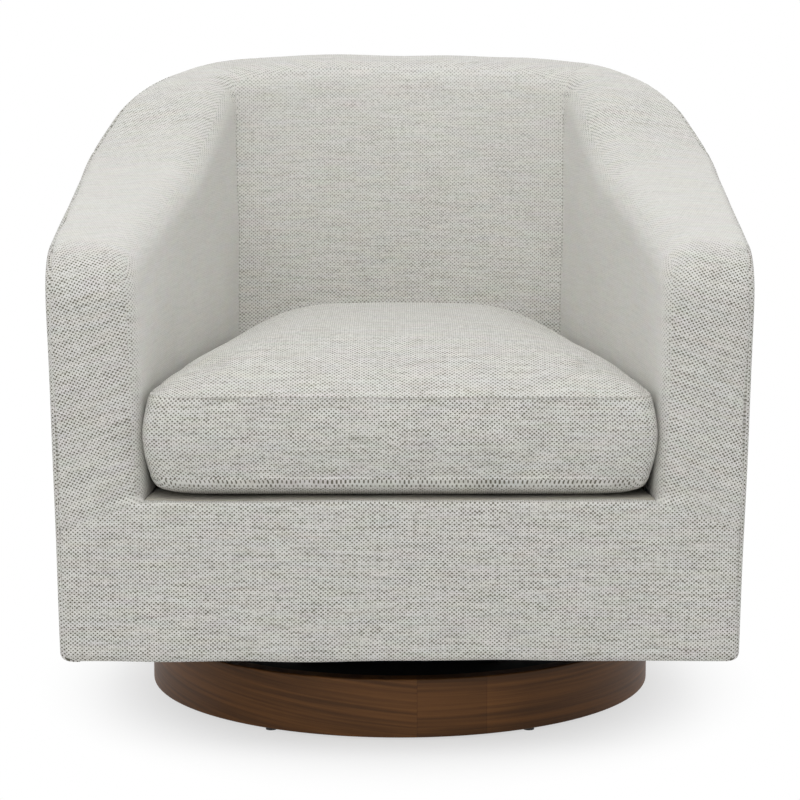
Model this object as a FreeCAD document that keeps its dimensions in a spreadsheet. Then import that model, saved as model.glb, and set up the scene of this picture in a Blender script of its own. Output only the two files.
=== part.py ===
import FreeCAD, Part
import math
import os
import re
import Sketcher

# Barrel armchair that swivels and rocks on a round wooden base ring.
# The frame stands on the floor at z = 0 with the swivel axis at the origin.
# The chair faces -Y, and left and right are those of someone looking at its front.

SIZES = [
    # the base ring and what lies in it
    ("glide_height", 3.0, "nylon glide under the ring"),
    ("glide_radius", 6.5, "nylon glide"),
    ("glide_count", 6, "glides round the ring"),
    ("nail_radius", 1.2, "nail of a glide"),
    ("nail_length", 12.0, "nail of a glide"),
    ("nail_room", 0.1, "room round a nail"),
    ("ring_radius", 314.0, "outside of the wooden ring"),
    ("ring_wall", 19.0, "wall of the wooden ring"),
    ("ring_height", 70.0, "height of the wooden ring"),
    ("ring_edge", 2.0, "rounded edges of the ring"),
    ("board_low", 24.0, "underside of the base board above the ring's foot"),
    ("board_thick", 18.0, "plywood base board"),
    ("board_centre_hole", 16.0, "room for the foot of the pivot pin"),
    ("cleat_count", 6, "glue blocks that carry the board"),
    ("cleat_width", 20.0, "radial width of a glue block"),
    ("cleat_span", 14.0, "half angle of a glue block, in degrees"),
    ("cleat_gap", 1.0, "from the ring's foot to a glue block"),
    ("screw_radius", 2.0, "wood screw"),
    ("screw_head", 4.0, "wood screw head"),
    ("screw_head_height", 0.6, "wood screw head"),
    ("screw_depth", 10.0, "wood screw in the board"),
    ("seat_gap", 0.3, "clearance between pieces that fit"),
    # the swivel bearing
    ("steel", 3.0, "steel plate of the mechanism"),
    ("plate_half", 125.0, "half width of the lower plate"),
    ("plate_corner", 18.0, "corner of the lower plate"),
    ("bolt_place", 104.0, "bolts of the lower plate from its middle lines"),
    ("bolt_radius", 4.0, "bolts of the mechanism"),
    ("bolt_head", 7.5, "across corners half, bolts of the mechanism"),
    ("bolt_head_height", 5.0, "bolts of the mechanism"),
    ("bolt_nut_height", 6.5, "nuts of the mechanism"),
    ("bolt_thread", 2.0, "bolt that stands out of its nut"),
    ("race_radius", 85.0, "ball circle"),
    ("race_half", 11.0, "half width of a race"),
    ("race_height", 5.0, "height of a race"),
    ("ball_radius", 4.0, "bearing ball"),
    ("ball_count", 24, "bearing balls"),
    ("cage_half", 8.0, "half width of the cage"),
    ("pin_radius", 7.7, "pivot pin"),
    ("pin_foot", 13.0, "foot of the pivot pin"),
    ("pin_foot_height", 4.0, "foot of the pivot pin"),
    ("pin_top", 11.0, "pivot pin above the bracket's floor"),
    ("pin_nut", 14.0, "across corners half, nut of the pivot pin"),
    ("washer_radius", 17.0, "nylon washer of the pivot pin"),
    ("washer_thick", 2.0, "nylon washer of the pivot pin"),
    # the rocking bracket and cradle
    ("bracket_half", 85.0, "half width of the swivel bracket, outside"),
    ("bracket_length", 112.0, "half length of the swivel bracket"),
    ("ear_length", 34.0, "half length of the bracket's ears at the floor"),
    ("ear_tip", 14.0, "radius of the ears round the axle"),
    ("axle_rise", 26.0, "axle above the bracket's underside"),
    ("axle_radius", 5.0, "axle bolts"),
    ("axle_head", 9.0, "across corners half, axle bolts"),
    ("axle_head_height", 6.5, "axle bolts"),
    ("bushing_wall", 2.2, "nylon bushing on the axle"),
    ("bushing_flange", 12.0, "flange radius of the bushing"),
    ("ear_space", 2.0, "from the bracket's ears to the cradle's"),
    ("cradle_length", 110.0, "half length of the cradle's top"),
    ("cradle_half", 122.0, "half width of the cradle's top"),
    ("cradle_ear_length", 46.0, "half length of the cradle's ears at the top"),
    ("cradle_bolt_x", 107.0, "bolts of the cradle"),
    ("cradle_bolt_y", 92.0, "bolts of the cradle"),
    ("cradle_bolt_grip", 22.4, "bolts of the cradle in the mounting rails"),
    ("coil_radius", 14.0, "middle of the wire of a rocker spring"),
    ("coil_wire", 2.2, "wire radius of a rocker spring"),
    ("coil_turns", 5.0, "turns of a rocker spring"),
    ("coil_x", 42.0, "rocker springs from the middle"),
    ("coil_y", 66.0, "rocker springs from the middle"),
    ("bump_radius", 11.0, "rubber stop"),
    ("bump_y", 96.0, "rubber stops from the middle"),
    ("bump_gap", 1.0, "from a rubber stop to the cradle when it rocks that far"),
    ("rock_limit", 6.0, "degrees of rocking each way"),
    # the upholstered body, outside
    ("body_bottom", 113.0, "underside of the upholstery"),
    ("body_front", 393.0, "front face from the swivel axis"),
    ("low_half", 384.5, "half width at the underside"),
    ("side_flare", 0.0229, "how far the outer walls lean out per mm of height"),
    ("barrel_y", -6.0, "centre of the round back"),
    ("loft_top", 800.0, "level above the whole body"),
    ("arm_line_y", -41.3, "end of the straight part of the arm's top"),
    ("arm_line_z", 643.0, "height there"),
    ("arm_slope", 10.7, "slope of the arm's top, in degrees"),
    ("shoulder_slope", 32.0, "steepest slope of the top, in degrees"),
    ("hollow_radius", 475.0, "hollow bend of the top"),
    ("back_top", 781.5, "top of the back"),
    ("arm_nose", 72.0, "round front of the arm, seen from the side"),
    ("outer_edge", 16.0, "round outer edge"),
    ("inner_edge", 42.0, "soft roll into the seat"),
    ("bottom_edge", 8.0, "round lower edge"),
    # the inside of the barrel
    ("deck_top", 297.0, "deck under the seat cushion"),
    ("arm_gap_low", 286.0, "half width between the arms at the deck, front"),
    ("arm_gap_lean", 0.030, "how far the arms lean out per mm of height"),
    ("arm_bow", 9.0, "bow of the inside of an arm"),
    ("corner_low", 212.0, "inside back corner at the deck, across"),
    ("corner_lean", 0.016, "how far the corner moves out per mm of height"),
    ("corner_y", 180.0, "inside back corner at the deck, along"),
    ("corner_back", 0.110, "how far the corner moves back per mm of height"),
    ("back_bow", 50.0, "bow of the inside back at the deck"),
    ("back_bow_rise", 0.048, "how far the bow grows per mm of height"),
    ("corner_round", 20.0, "round of the inside corners"),
    # the layers of the upholstery
    ("skin", 3.0, "cover cloth with its wadding"),
    ("outer_board", 4.0, "fibreboard behind the outer covers"),
    ("foam", 30.0, "foam on the inside and the top"),
    ("front_foam", 20.0, "foam on the front"),
    ("deck_pad", 28.0, "pad over the springs"),
    ("seam_drop", 4.5, "from the top or the front to the seam of the outer covers"),
    ("hem", 17.0, "covers turned under at the bottom"),
    ("arm_seam_y", 60.0, "seam between the outer covers of the arms and the back"),
    ("front_seam_rise", 35.0, "fall of the mitre seam beside the deck"),
    ("opening_room", 8.0, "from the cradle to the edge of the dust cover's opening"),
    # the wooden frame in the body
    ("frame_board", 18.0, "plywood at the bottom of the frame"),
    ("rail_height", 124.0, "seat rails"),
    ("rail_thick", 28.0, "seat rails and posts"),
    ("post_in", 339.5, "inner side of the posts"),
    ("post_out", 375.5, "outer side of the posts"),
    ("side_post_y", -10.0, "front of the side posts"),
    ("post_set", 1.0, "posts and side rails behind the front of the frame"),
    ("arm_rail_set", 18.0, "arm rails behind the front of the frame"),
    ("side_rail_end", 62.0, "rear end of the side rails"),
    ("rear_rail_y", 190.0, "front of the rear rail"),
    ("rear_rail_half", 258.0, "half length of the rear rail"),
    ("arm_rail_drop", 45.0, "arm rail below the line of the arm's top"),
    ("arm_rail_thick", 18.0, "arm rail"),
    ("mount_rail_x", 88.0, "inner side of the mounting rails"),
    ("mount_rail_width", 38.0, "mounting rails"),
    ("mount_rail_height", 32.0, "mounting rails"),
    ("block_side", 60.0, "legs of a corner block"),
    ("block_height", 46.0, "corner blocks"),
    ("back_post_in", 346.0, "inner side of the back posts, from the barrel's centre"),
    ("back_post_width", 44.0, "back posts"),
    ("back_post_angle", 32.0, "outer back posts, degrees from the X axis"),
    ("back_post_step", 34.0, "from an outer back post to the next, degrees"),
    ("back_rail_low", 656.0, "underside of the top rail of the back"),
    ("back_rail_in", 362.0, "inner side of the top rail, from the barrel's centre"),
    ("back_rail_width", 22.0, "top rail of the back"),
    ("back_rail_thick", 18.0, "top rail of the back"),
    ("back_rail_angle", 28.0, "start of the top rail, degrees from the X axis"),
    # the springs of the seat
    ("wire_radius", 1.8, "wire of the zigzag springs"),
    ("wire_rise", 3.2, "middle of the wire above the rails"),
    ("loop_radius", 11.0, "bends of the zigzag springs"),
    ("loop_run", 26.0, "straight runs of the zigzag springs"),
    ("spring_step", 106.0, "from one zigzag spring to the next"),
    ("spring_count", 5, "zigzag springs"),
    ("spring_past", 5.0, "ends of the zigzag springs past the middle of the rails"),
    ("clip_width", 18.0, "spring clips"),
    ("clip_steel", 1.4, "spring clips"),
    ("clip_length", 17.0, "spring clips"),
    ("clip_lip", 3.0, "lip of a spring clip past the wire"),
    ("clip_lip_steel", 1.12, "lip of a spring clip"),
    # the loose seat cushion
    ("cushion_half", 282.0, "half width at the front"),
    ("cushion_front", 383.0, "front of the cushion from the axis"),
    ("cushion_middle", -100.0, "the point that its outlines shrink towards"),
    ("cushion_corner", 207.0, "rear corner of the cushion, across"),
    ("cushion_corner_y", 165.0, "rear corner of the cushion, along"),
    ("cushion_bow", 50.0, "bow of the cushion's rear"),
    ("cushion_round", 46.0, "round front corners"),
    ("cushion_height", 170.0, "height of the cushion at its crown"),
    ("cushion_cloth", 4.0, "cover of the cushion with its wadding"),
    ("zip_height", 71.4, "middle of the zip above the deck"),
    ("zip_width", 8.0, "tape of the zip"),
    ("zip_thick", 1.4, "zip outside the cover"),
    ("zip_end", 30.0, "from a rear corner of the cushion to the zip"),
]

doc = FreeCAD.newDocument("swivel_rocker")
sheet = doc.addObject("Spreadsheet::Sheet", "sizes")
NAMES = set()
for line, (alias, number, note) in enumerate(SIZES, start=1):
    sheet.set("A%d" % line, alias)
    sheet.set("B%d" % line, str(number))
    sheet.set("C%d" % line, note)
    sheet.setAlias("B%d" % line, alias)
    NAMES.add(alias)
doc.recompute()

# Places that several pieces share, written as formulas of the sizes.
RING_TOP = "(glide_height + ring_height)"
GLIDE_PLACE = "(ring_radius - ring_wall / 2)"
CLEAT_PLACE = "(ring_radius - ring_wall - cleat_width / 2)"
BOARD_LOW = "(glide_height + board_low)"
BOARD_TOP = "(glide_height + board_low + board_thick)"
PLATE_TOP = "(glide_height + board_low + board_thick + steel)"
BALL_Z = "(glide_height + board_low + board_thick + steel + race_height + ball_radius / 2)"
BRACKET_LOW = "(glide_height + board_low + board_thick + steel + 2 * race_height + ball_radius)"
BRACKET_TOP = "(glide_height + board_low + board_thick + 2 * steel + 2 * race_height + ball_radius)"
AXLE_Z = "(glide_height + board_low + board_thick + steel + 2 * race_height + ball_radius + axle_rise)"
CRADLE_TOP = "(body_bottom + skin)"
# ends of the cutting forms, clear of the body
CLEAR = "60"
CLEAR_FRONT = "(body_front + %s)" % CLEAR
CLEAR_LOW = "(body_bottom - 20)"
CLEAR_HIGH = "(loft_top + 20)"
FRAME_TOP = "(body_bottom + skin + frame_board)"
RAIL_TOP = "(body_bottom + skin + frame_board + rail_height)"
FRAME_FRONT = "(body_front - skin - front_foam)"
DECK_LOW = "(deck_top - skin - deck_pad)"


def link(formula):
    """A formula of size names as an expression that reads the sheet."""
    return re.sub(r"[a-z_][a-z0-9_]*", lambda m: "sizes." + m.group() if m.group() in NAMES else m.group(), formula)


def size(formula):
    """The value of a formula, in mm or as a plain number."""
    value = sheet.evalExpression(link(str(formula)))
    return float(getattr(value, "Value", value))


def sin(angle):
    return "sin((%s) * 1 deg)" % angle


def cos(angle):
    return "cos((%s) * 1 deg)" % angle


def tan(angle):
    return "tan((%s) * 1 deg)" % angle


class Drawing:
    """A sketch whose points and radii are bound to formulas."""

    def __init__(self, name, plane="XY", level="0", body=None):
        if body is None:
            self.sketch = doc.addObject("Sketcher::SketchObject", name)
            turn = {
                "XY": FreeCAD.Rotation(),
                "YZ": FreeCAD.Rotation(FreeCAD.Vector(1, 1, 1), 120),
                "XZ": FreeCAD.Rotation(FreeCAD.Vector(1, 0, 0), 90),
            }[plane]
            self.sketch.Placement = FreeCAD.Placement(FreeCAD.Vector(), turn)
            axis, sign = {"XY": ("z", ""), "YZ": ("x", ""), "XZ": ("y", "")}[plane]
            self.sketch.setExpression("Placement.Base." + axis, link("%s(%s)" % (sign, level)))
        else:
            self.sketch = body.newObject("Sketcher::SketchObject", name)
            origin = [o for o in body.Origin.OriginFeatures if o.Role == plane + "_Plane"][0]
            self.sketch.AttachmentSupport = (origin, [""])
            self.sketch.MapMode = "FlatFace"
            # the XZ plane looks along -Y, so its offset is turned round to run along +Y
            flip = "-1 * " if plane == "XZ" else ""
            self.sketch.setExpression("AttachmentOffset.Base.z", link("%s(%s)" % (flip, level)))
        doc.recompute()

    def bind(self, kind, *where):
        *place, formula = where
        number = self.sketch.addConstraint(Sketcher.Constraint(kind, *place, size(formula)))
        self.sketch.setExpression("Constraints[%d]" % number, link(str(formula)))

    def outline(self, corners):
        """A closed outline. A corner is (x, y), or (x, y, radius) or (x, y, radius, "out" or "in")
        where the stretch that ends there is an arc, which bulges to its right or its left."""
        points = [FreeCAD.Vector(size(c[0]), size(c[1]), 0) for c in corners]
        ends = []
        for i, corner in enumerate(corners):
            start, end = points[i - 1], points[i]
            if len(corner) == 2:
                number = self.sketch.addGeometry(Part.LineSegment(start, end), False)
                ends.append((number, 1, 2, None))
                continue
            radius = size(corner[2])
            right = len(corner) == 3 or corner[3] == "out"
            middle = (start + end) * 0.5
            chord = end - start
            left = FreeCAD.Vector(-chord.y, chord.x, 0) / chord.Length
            rise = math.sqrt(max(radius**2 - (chord.Length / 2) ** 2, 0.0))
            centre = middle + left * (rise if right else -rise)
            first, last = (start, end) if right else (end, start)
            angles = [math.atan2(p.y - centre.y, p.x - centre.x) for p in (first, last)]
            arc = Part.ArcOfCircle(Part.Circle(centre, FreeCAD.Vector(0, 0, 1), radius), *angles)
            number = self.sketch.addGeometry(arc, False)
            ends.append((number, 1, 2, corner[2]) if right else (number, 2, 1, corner[2]))
        for i, (number, start, end, radius) in enumerate(ends):
            following = ends[(i + 1) % len(ends)]
            self.sketch.addConstraint(Sketcher.Constraint("Coincident", number, end, following[0], following[1]))
        for i, (number, start, end, radius) in enumerate(ends):
            self.bind("DistanceX", -1, 1, number, end, corners[i][0])
            self.bind("DistanceY", -1, 1, number, end, corners[i][1])
            if radius is not None:
                self.bind("Radius", number, radius)
        return self

    def circle(self, x, y, radius):
        centre = FreeCAD.Vector(size(x), size(y), 0)
        number = self.sketch.addGeometry(Part.Circle(centre, FreeCAD.Vector(0, 0, 1), size(radius)), False)
        self.bind("Radius", number, radius)
        self.bind("DistanceX", -1, 1, number, 3, x)
        self.bind("DistanceY", -1, 1, number, 3, y)
        return self

    def box(self, x0, y0, x1, y1):
        return self.outline([(x0, y0), (x1, y0), (x1, y1), (x0, y1)])

    def hexagon(self, x, y, radius):
        corners = []
        for turn in range(0, 360, 60):
            corners.append(("%s + %s * %s" % (x, radius, cos(turn)), "%s + %s * %s" % (y, radius, sin(turn))))
        return self.outline(corners)


def new_body(label):
    return doc.addObject("PartDesign::Body", label)


def pad(body, drawing, length, back=False):
    feature = body.newObject("PartDesign::Pad", drawing.sketch.Name + "_pad")
    feature.Profile = drawing.sketch
    feature.Reversed = back
    feature.setExpression("Length", link(length))
    drawing.sketch.Visibility = False
    doc.recompute()
    return feature


def cut_away(body, drawing, length, back=False):
    before = body.Shape.Volume
    feature = body.newObject("PartDesign::Pocket", drawing.sketch.Name + "_cut")
    feature.Profile = drawing.sketch
    feature.Reversed = back
    feature.setExpression("Length", link(length))
    doc.recompute()
    if body.Shape.Volume >= before:
        raise RuntimeError("%s cuts nothing" % feature.Name)
    return feature


def turned(body, drawing):
    feature = body.newObject("PartDesign::Revolution", drawing.sketch.Name + "_turn")
    feature.Profile = drawing.sketch
    feature.ReferenceAxis = (drawing.sketch, ["V_Axis"])
    feature.Angle = 360
    doc.recompute()
    return feature


def repeat_round(body, feature, drawing, count, axis="N_Axis"):
    pattern = body.newObject("PartDesign::PolarPattern", feature.Name + "_round")
    pattern.Originals = [feature]
    pattern.Axis = (drawing.sketch, [axis])
    pattern.Angle = 360
    pattern.setExpression("Occurrences", link(count))
    body.Tip = pattern
    doc.recompute()
    return pattern


def extrusion(name, drawing, length):
    solid = doc.addObject("Part::Extrusion", name)
    solid.Base = drawing.sketch
    solid.DirMode = "Normal"
    solid.Solid = True
    solid.setExpression("LengthFwd", link(length))
    return solid


def loft(name, drawings, ruled=True):
    solid = doc.addObject("Part::Loft", name)
    solid.Sections = [d.sketch for d in drawings]
    solid.Solid = True
    solid.Ruled = ruled
    return solid


def boolean(kind, name, base, tool):
    solid = doc.addObject("Part::" + kind, name)
    solid.Base = base
    solid.Tool = tool
    return solid


def rounded(name, base, edges):
    """Fillets on (edge number, radius formula) pairs of a solid."""
    solid = doc.addObject("Part::Fillet", name)
    solid.Base = base
    solid.Edges = [(number, size(radius), size(radius)) for number, radius in edges]
    return solid


def block(name, low, high):
    """A Part::Box between two corners given as formulas."""
    solid = doc.addObject("Part::Box", name)
    for side, axis, a, b in zip(("Length", "Width", "Height"), "xyz", low, high):
        solid.setExpression(side, link("(%s) - (%s)" % (b, a)))
        solid.setExpression("Placement.Base." + axis, link(a))
    return solid


def feature(label, shape):
    solid = doc.addObject("Part::Feature", label)
    solid.Shape = shape
    return solid


KEPT = []


def keep(solid, label=None):
    """Marks an object of the document as one of the chair's pieces."""
    solid.Label = label or solid.Name
    KEPT.append(solid)
    return solid


# The base: ring, board, glue blocks, screws and glides
def base():
    ring = new_body("base_ring")
    wall = Drawing("ring_section", "XZ", "0", ring)
    low, high = "glide_height", RING_TOP
    outer, inner = "ring_radius", "(ring_radius - ring_wall)"
    wall.outline([
        (inner, low),
        (outer + " - ring_edge", low),
        (outer, low + " + ring_edge", "ring_edge"),
        (outer, high + " - ring_edge"),
        (outer + " - ring_edge", high, "ring_edge"),
        (inner, high),
    ])
    turned(ring, wall)
    nail = Drawing("nail_hole", "XY", low, ring).circle(GLIDE_PLACE, "0", "nail_radius + nail_room")
    hole = cut_away(ring, nail, "nail_length + seat_gap", back=True)
    repeat_round(ring, hole, nail, "glide_count")
    keep(ring)

    glides = new_body("floor_glides")
    disc = Drawing("glide_disc", "XY", "0", glides).circle(GLIDE_PLACE, "0", "glide_radius")
    repeat_round(glides, pad(glides, disc, "glide_height"), disc, "glide_count")
    shank = Drawing("glide_nail", "XY", low, glides).circle(GLIDE_PLACE, "0", "nail_radius")
    repeat_round(glides, pad(glides, shank, "nail_length"), shank, "glide_count")
    keep(glides)

    board = new_body("base_board")
    disc = Drawing("board_disc", "XY", BOARD_LOW, board)
    disc.circle("0", "0", "ring_radius - ring_wall - seat_gap").circle("0", "0", "board_centre_hole")
    for x in ("-bolt_place", "bolt_place"):
        for y in ("-bolt_place", "bolt_place"):
            disc.circle(x, y, "bolt_radius + seat_gap")
    pad(board, disc, "board_thick")
    pilot = Drawing("pilot_hole", "XY", BOARD_LOW, board)
    pilot.circle(CLEAT_PLACE, "0", "screw_radius + seat_gap")
    hole = cut_away(board, pilot, "screw_depth + seat_gap", back=True)
    repeat_round(board, hole, pilot, "cleat_count")
    keep(board)

    cleats = new_body("base_cleats")
    cleat_low = "(glide_height + cleat_gap)"
    sector = Drawing("cleat_sector", "XY", cleat_low, cleats)
    far, near = "(ring_radius - ring_wall - seat_gap)", "(ring_radius - ring_wall - cleat_width)"
    sector.outline([
        ("%s * %s" % (near, cos("cleat_span")), "-1 * %s * %s" % (near, sin("cleat_span"))),
        ("%s * %s" % (far, cos("cleat_span")), "-1 * %s * %s" % (far, sin("cleat_span"))),
        ("%s * %s" % (far, cos("cleat_span")), "%s * %s" % (far, sin("cleat_span")), far),
        ("%s * %s" % (near, cos("cleat_span")), "%s * %s" % (near, sin("cleat_span"))),
    ])
    sector.circle(CLEAT_PLACE, "0", "screw_radius + seat_gap")
    one = pad(cleats, sector, "board_low - cleat_gap")
    repeat_round(cleats, one, sector, "cleat_count")
    keep(cleats)

    screws = new_body("cleat_screws")
    head_low = cleat_low + " - seat_gap - screw_head_height"
    head = Drawing("cleat_screw_head", "XY", head_low, screws).circle(CLEAT_PLACE, "0", "screw_head")
    repeat_round(screws, pad(screws, head, "screw_head_height"), head, "cleat_count")
    shank = Drawing("cleat_screw_shank", "XY", cleat_low + " - seat_gap", screws)
    shank.circle(CLEAT_PLACE, "0", "screw_radius")
    length = "board_low - cleat_gap + screw_depth"
    repeat_round(screws, pad(screws, shank, length), shank, "cleat_count")
    keep(screws)


def four(drawing, draw, x, y, *rest):
    for a in ("-1 * %s" % x, x):
        for b in ("-1 * %s" % y, y):
            draw(a, b, *rest)
    return drawing


# The ball bearing between the lower plate and the swivel bracket
def bearing():
    lower = new_body("swivel_base_plate")
    edge = Drawing("lower_plate_outline", "XY", BOARD_TOP, lower)
    half, corner = "plate_half", "plate_corner"
    edge.outline([
        (half + " - " + corner, "-1 * " + half),
        (half, "-1 * %s + %s" % (half, corner), corner),
        (half, half + " - " + corner),
        (half + " - " + corner, half, corner),
        ("-1 * %s + %s" % (half, corner), half),
        ("-1 * " + half, half + " - " + corner, corner),
        ("-1 * " + half, "-1 * %s + %s" % (half, corner)),
        ("-1 * %s + %s" % (half, corner), "-1 * " + half, corner),
    ])
    edge.circle("0", "0", "pin_radius + seat_gap")
    four(edge, edge.circle, "bolt_place", "bolt_place", "bolt_radius + seat_gap")
    pad(lower, edge, "steel")
    keep(lower)

    bolts = new_body("base_bolts")
    heads = Drawing("base_bolt_heads", "XY", BOARD_LOW + " - bolt_head_height", bolts)
    pad(bolts, four(heads, heads.circle, "bolt_place", "bolt_place", "bolt_head"), "bolt_head_height")
    shanks = Drawing("base_bolt_shanks", "XY", BOARD_LOW, bolts)
    four(shanks, shanks.circle, "bolt_place", "bolt_place", "bolt_radius")
    pad(bolts, shanks, "board_thick + steel + bolt_nut_height + bolt_thread")
    keep(bolts)

    nuts = new_body("base_nuts")
    shape = Drawing("base_nut_shape", "XY", PLATE_TOP, nuts)
    four(shape, shape.hexagon, "bolt_place", "bolt_place", "bolt_head")
    four(shape, shape.circle, "bolt_place", "bolt_place", "bolt_radius")
    pad(nuts, shape, "bolt_nut_height")
    keep(nuts)

    groove = "(ball_radius + seat_gap)"
    mouth = "sqrt(%s^2 - (ball_radius / 2)^2)" % groove
    for label, low, high, lip in (
        ("lower_race", PLATE_TOP, PLATE_TOP + " + race_height", "top"),
        ("upper_race", BRACKET_LOW + " - race_height", BRACKET_LOW, "bottom"),
    ):
        race = new_body(label)
        section = Drawing(label + "_section", "XZ", "0", race)
        near, far = "race_radius - race_half", "race_radius + race_half"
        if lip == "top":
            corners = [(near, low), (far, low), (far, high), ("race_radius + " + mouth, high),
                       ("race_radius - " + mouth, high, groove, "in"), (near, high)]
        else:
            corners = [(near, low), ("race_radius - " + mouth, low),
                       ("race_radius + " + mouth, low, groove, "in"), (far, low), (far, high), (near, high)]
        section.outline(corners)
        turned(race, section)
        keep(race)

    cage = new_body("ball_cage")
    ring = Drawing("cage_ring", "XY", BALL_Z + " - ball_radius / 2 + seat_gap", cage)
    ring.circle("0", "0", "race_radius + cage_half").circle("0", "0", "race_radius - cage_half")
    pad(cage, ring, "ball_radius - 2 * seat_gap")
    pocket = Drawing("cage_pocket", "XY", BALL_Z + " - ball_radius", cage)
    pocket.circle("race_radius", "0", "ball_radius + seat_gap")
    repeat_round(cage, cut_away(cage, pocket, "2 * ball_radius", back=True), pocket, "ball_count")
    keep(cage)

    balls = []
    for number in range(round(size("ball_count"))):
        turn = 360.0 * number / size("ball_count")
        place = FreeCAD.Rotation(FreeCAD.Vector(0, 0, 1), turn).multVec(FreeCAD.Vector(size("race_radius"), 0, 0))
        balls.append(Part.makeSphere(size("ball_radius"), place + FreeCAD.Vector(0, 0, size(BALL_Z))))
    keep(feature("bearing_balls", Part.makeCompound(balls)))

    pin = new_body("pivot_pin")
    section = Drawing("pin_section", "XZ", "0", pin)
    section.outline([
        ("0", BOARD_TOP + " - pin_foot_height"),
        ("pin_foot", BOARD_TOP + " - pin_foot_height"),
        ("pin_foot", BOARD_TOP),
        ("pin_radius", BOARD_TOP),
        ("pin_radius", BRACKET_TOP + " + pin_top"),
        ("0", BRACKET_TOP + " + pin_top"),
    ])
    turned(pin, section)
    keep(pin)

    nylon = new_body("pivot_washer")
    ring = Drawing("washer_ring", "XY", BRACKET_TOP, nylon)
    ring.circle("0", "0", "washer_radius").circle("0", "0", "pin_radius + seat_gap")
    pad(nylon, ring, "washer_thick")
    keep(nylon)

    nut = new_body("pivot_nut")
    shape = Drawing("pivot_nut_shape", "XY", BRACKET_TOP + " + washer_thick + seat_gap", nut)
    shape.hexagon("0", "0", "pin_nut").circle("0", "0", "pin_radius")
    pad(nut, shape, "pin_top - washer_thick - 2 * seat_gap")
    keep(nut)


def ear(drawing, foot, foot_z, hole, downwards=False):
    """An ear round the axle: a trapezium with a round tip, its hole included."""
    side, end = ("-1 * ", " - ear_tip") if downwards else ("", " + ear_tip")
    other = "" if downwards else "-1 * "
    drawing.outline([
        (other + foot, foot_z),
        (side + foot, foot_z),
        (side + "ear_tip", AXLE_Z),
        ("0", AXLE_Z + end, "ear_tip"),
        (other + "ear_tip", AXLE_Z, "ear_tip"),
    ])
    drawing.circle("0", AXLE_Z, hole)


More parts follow.
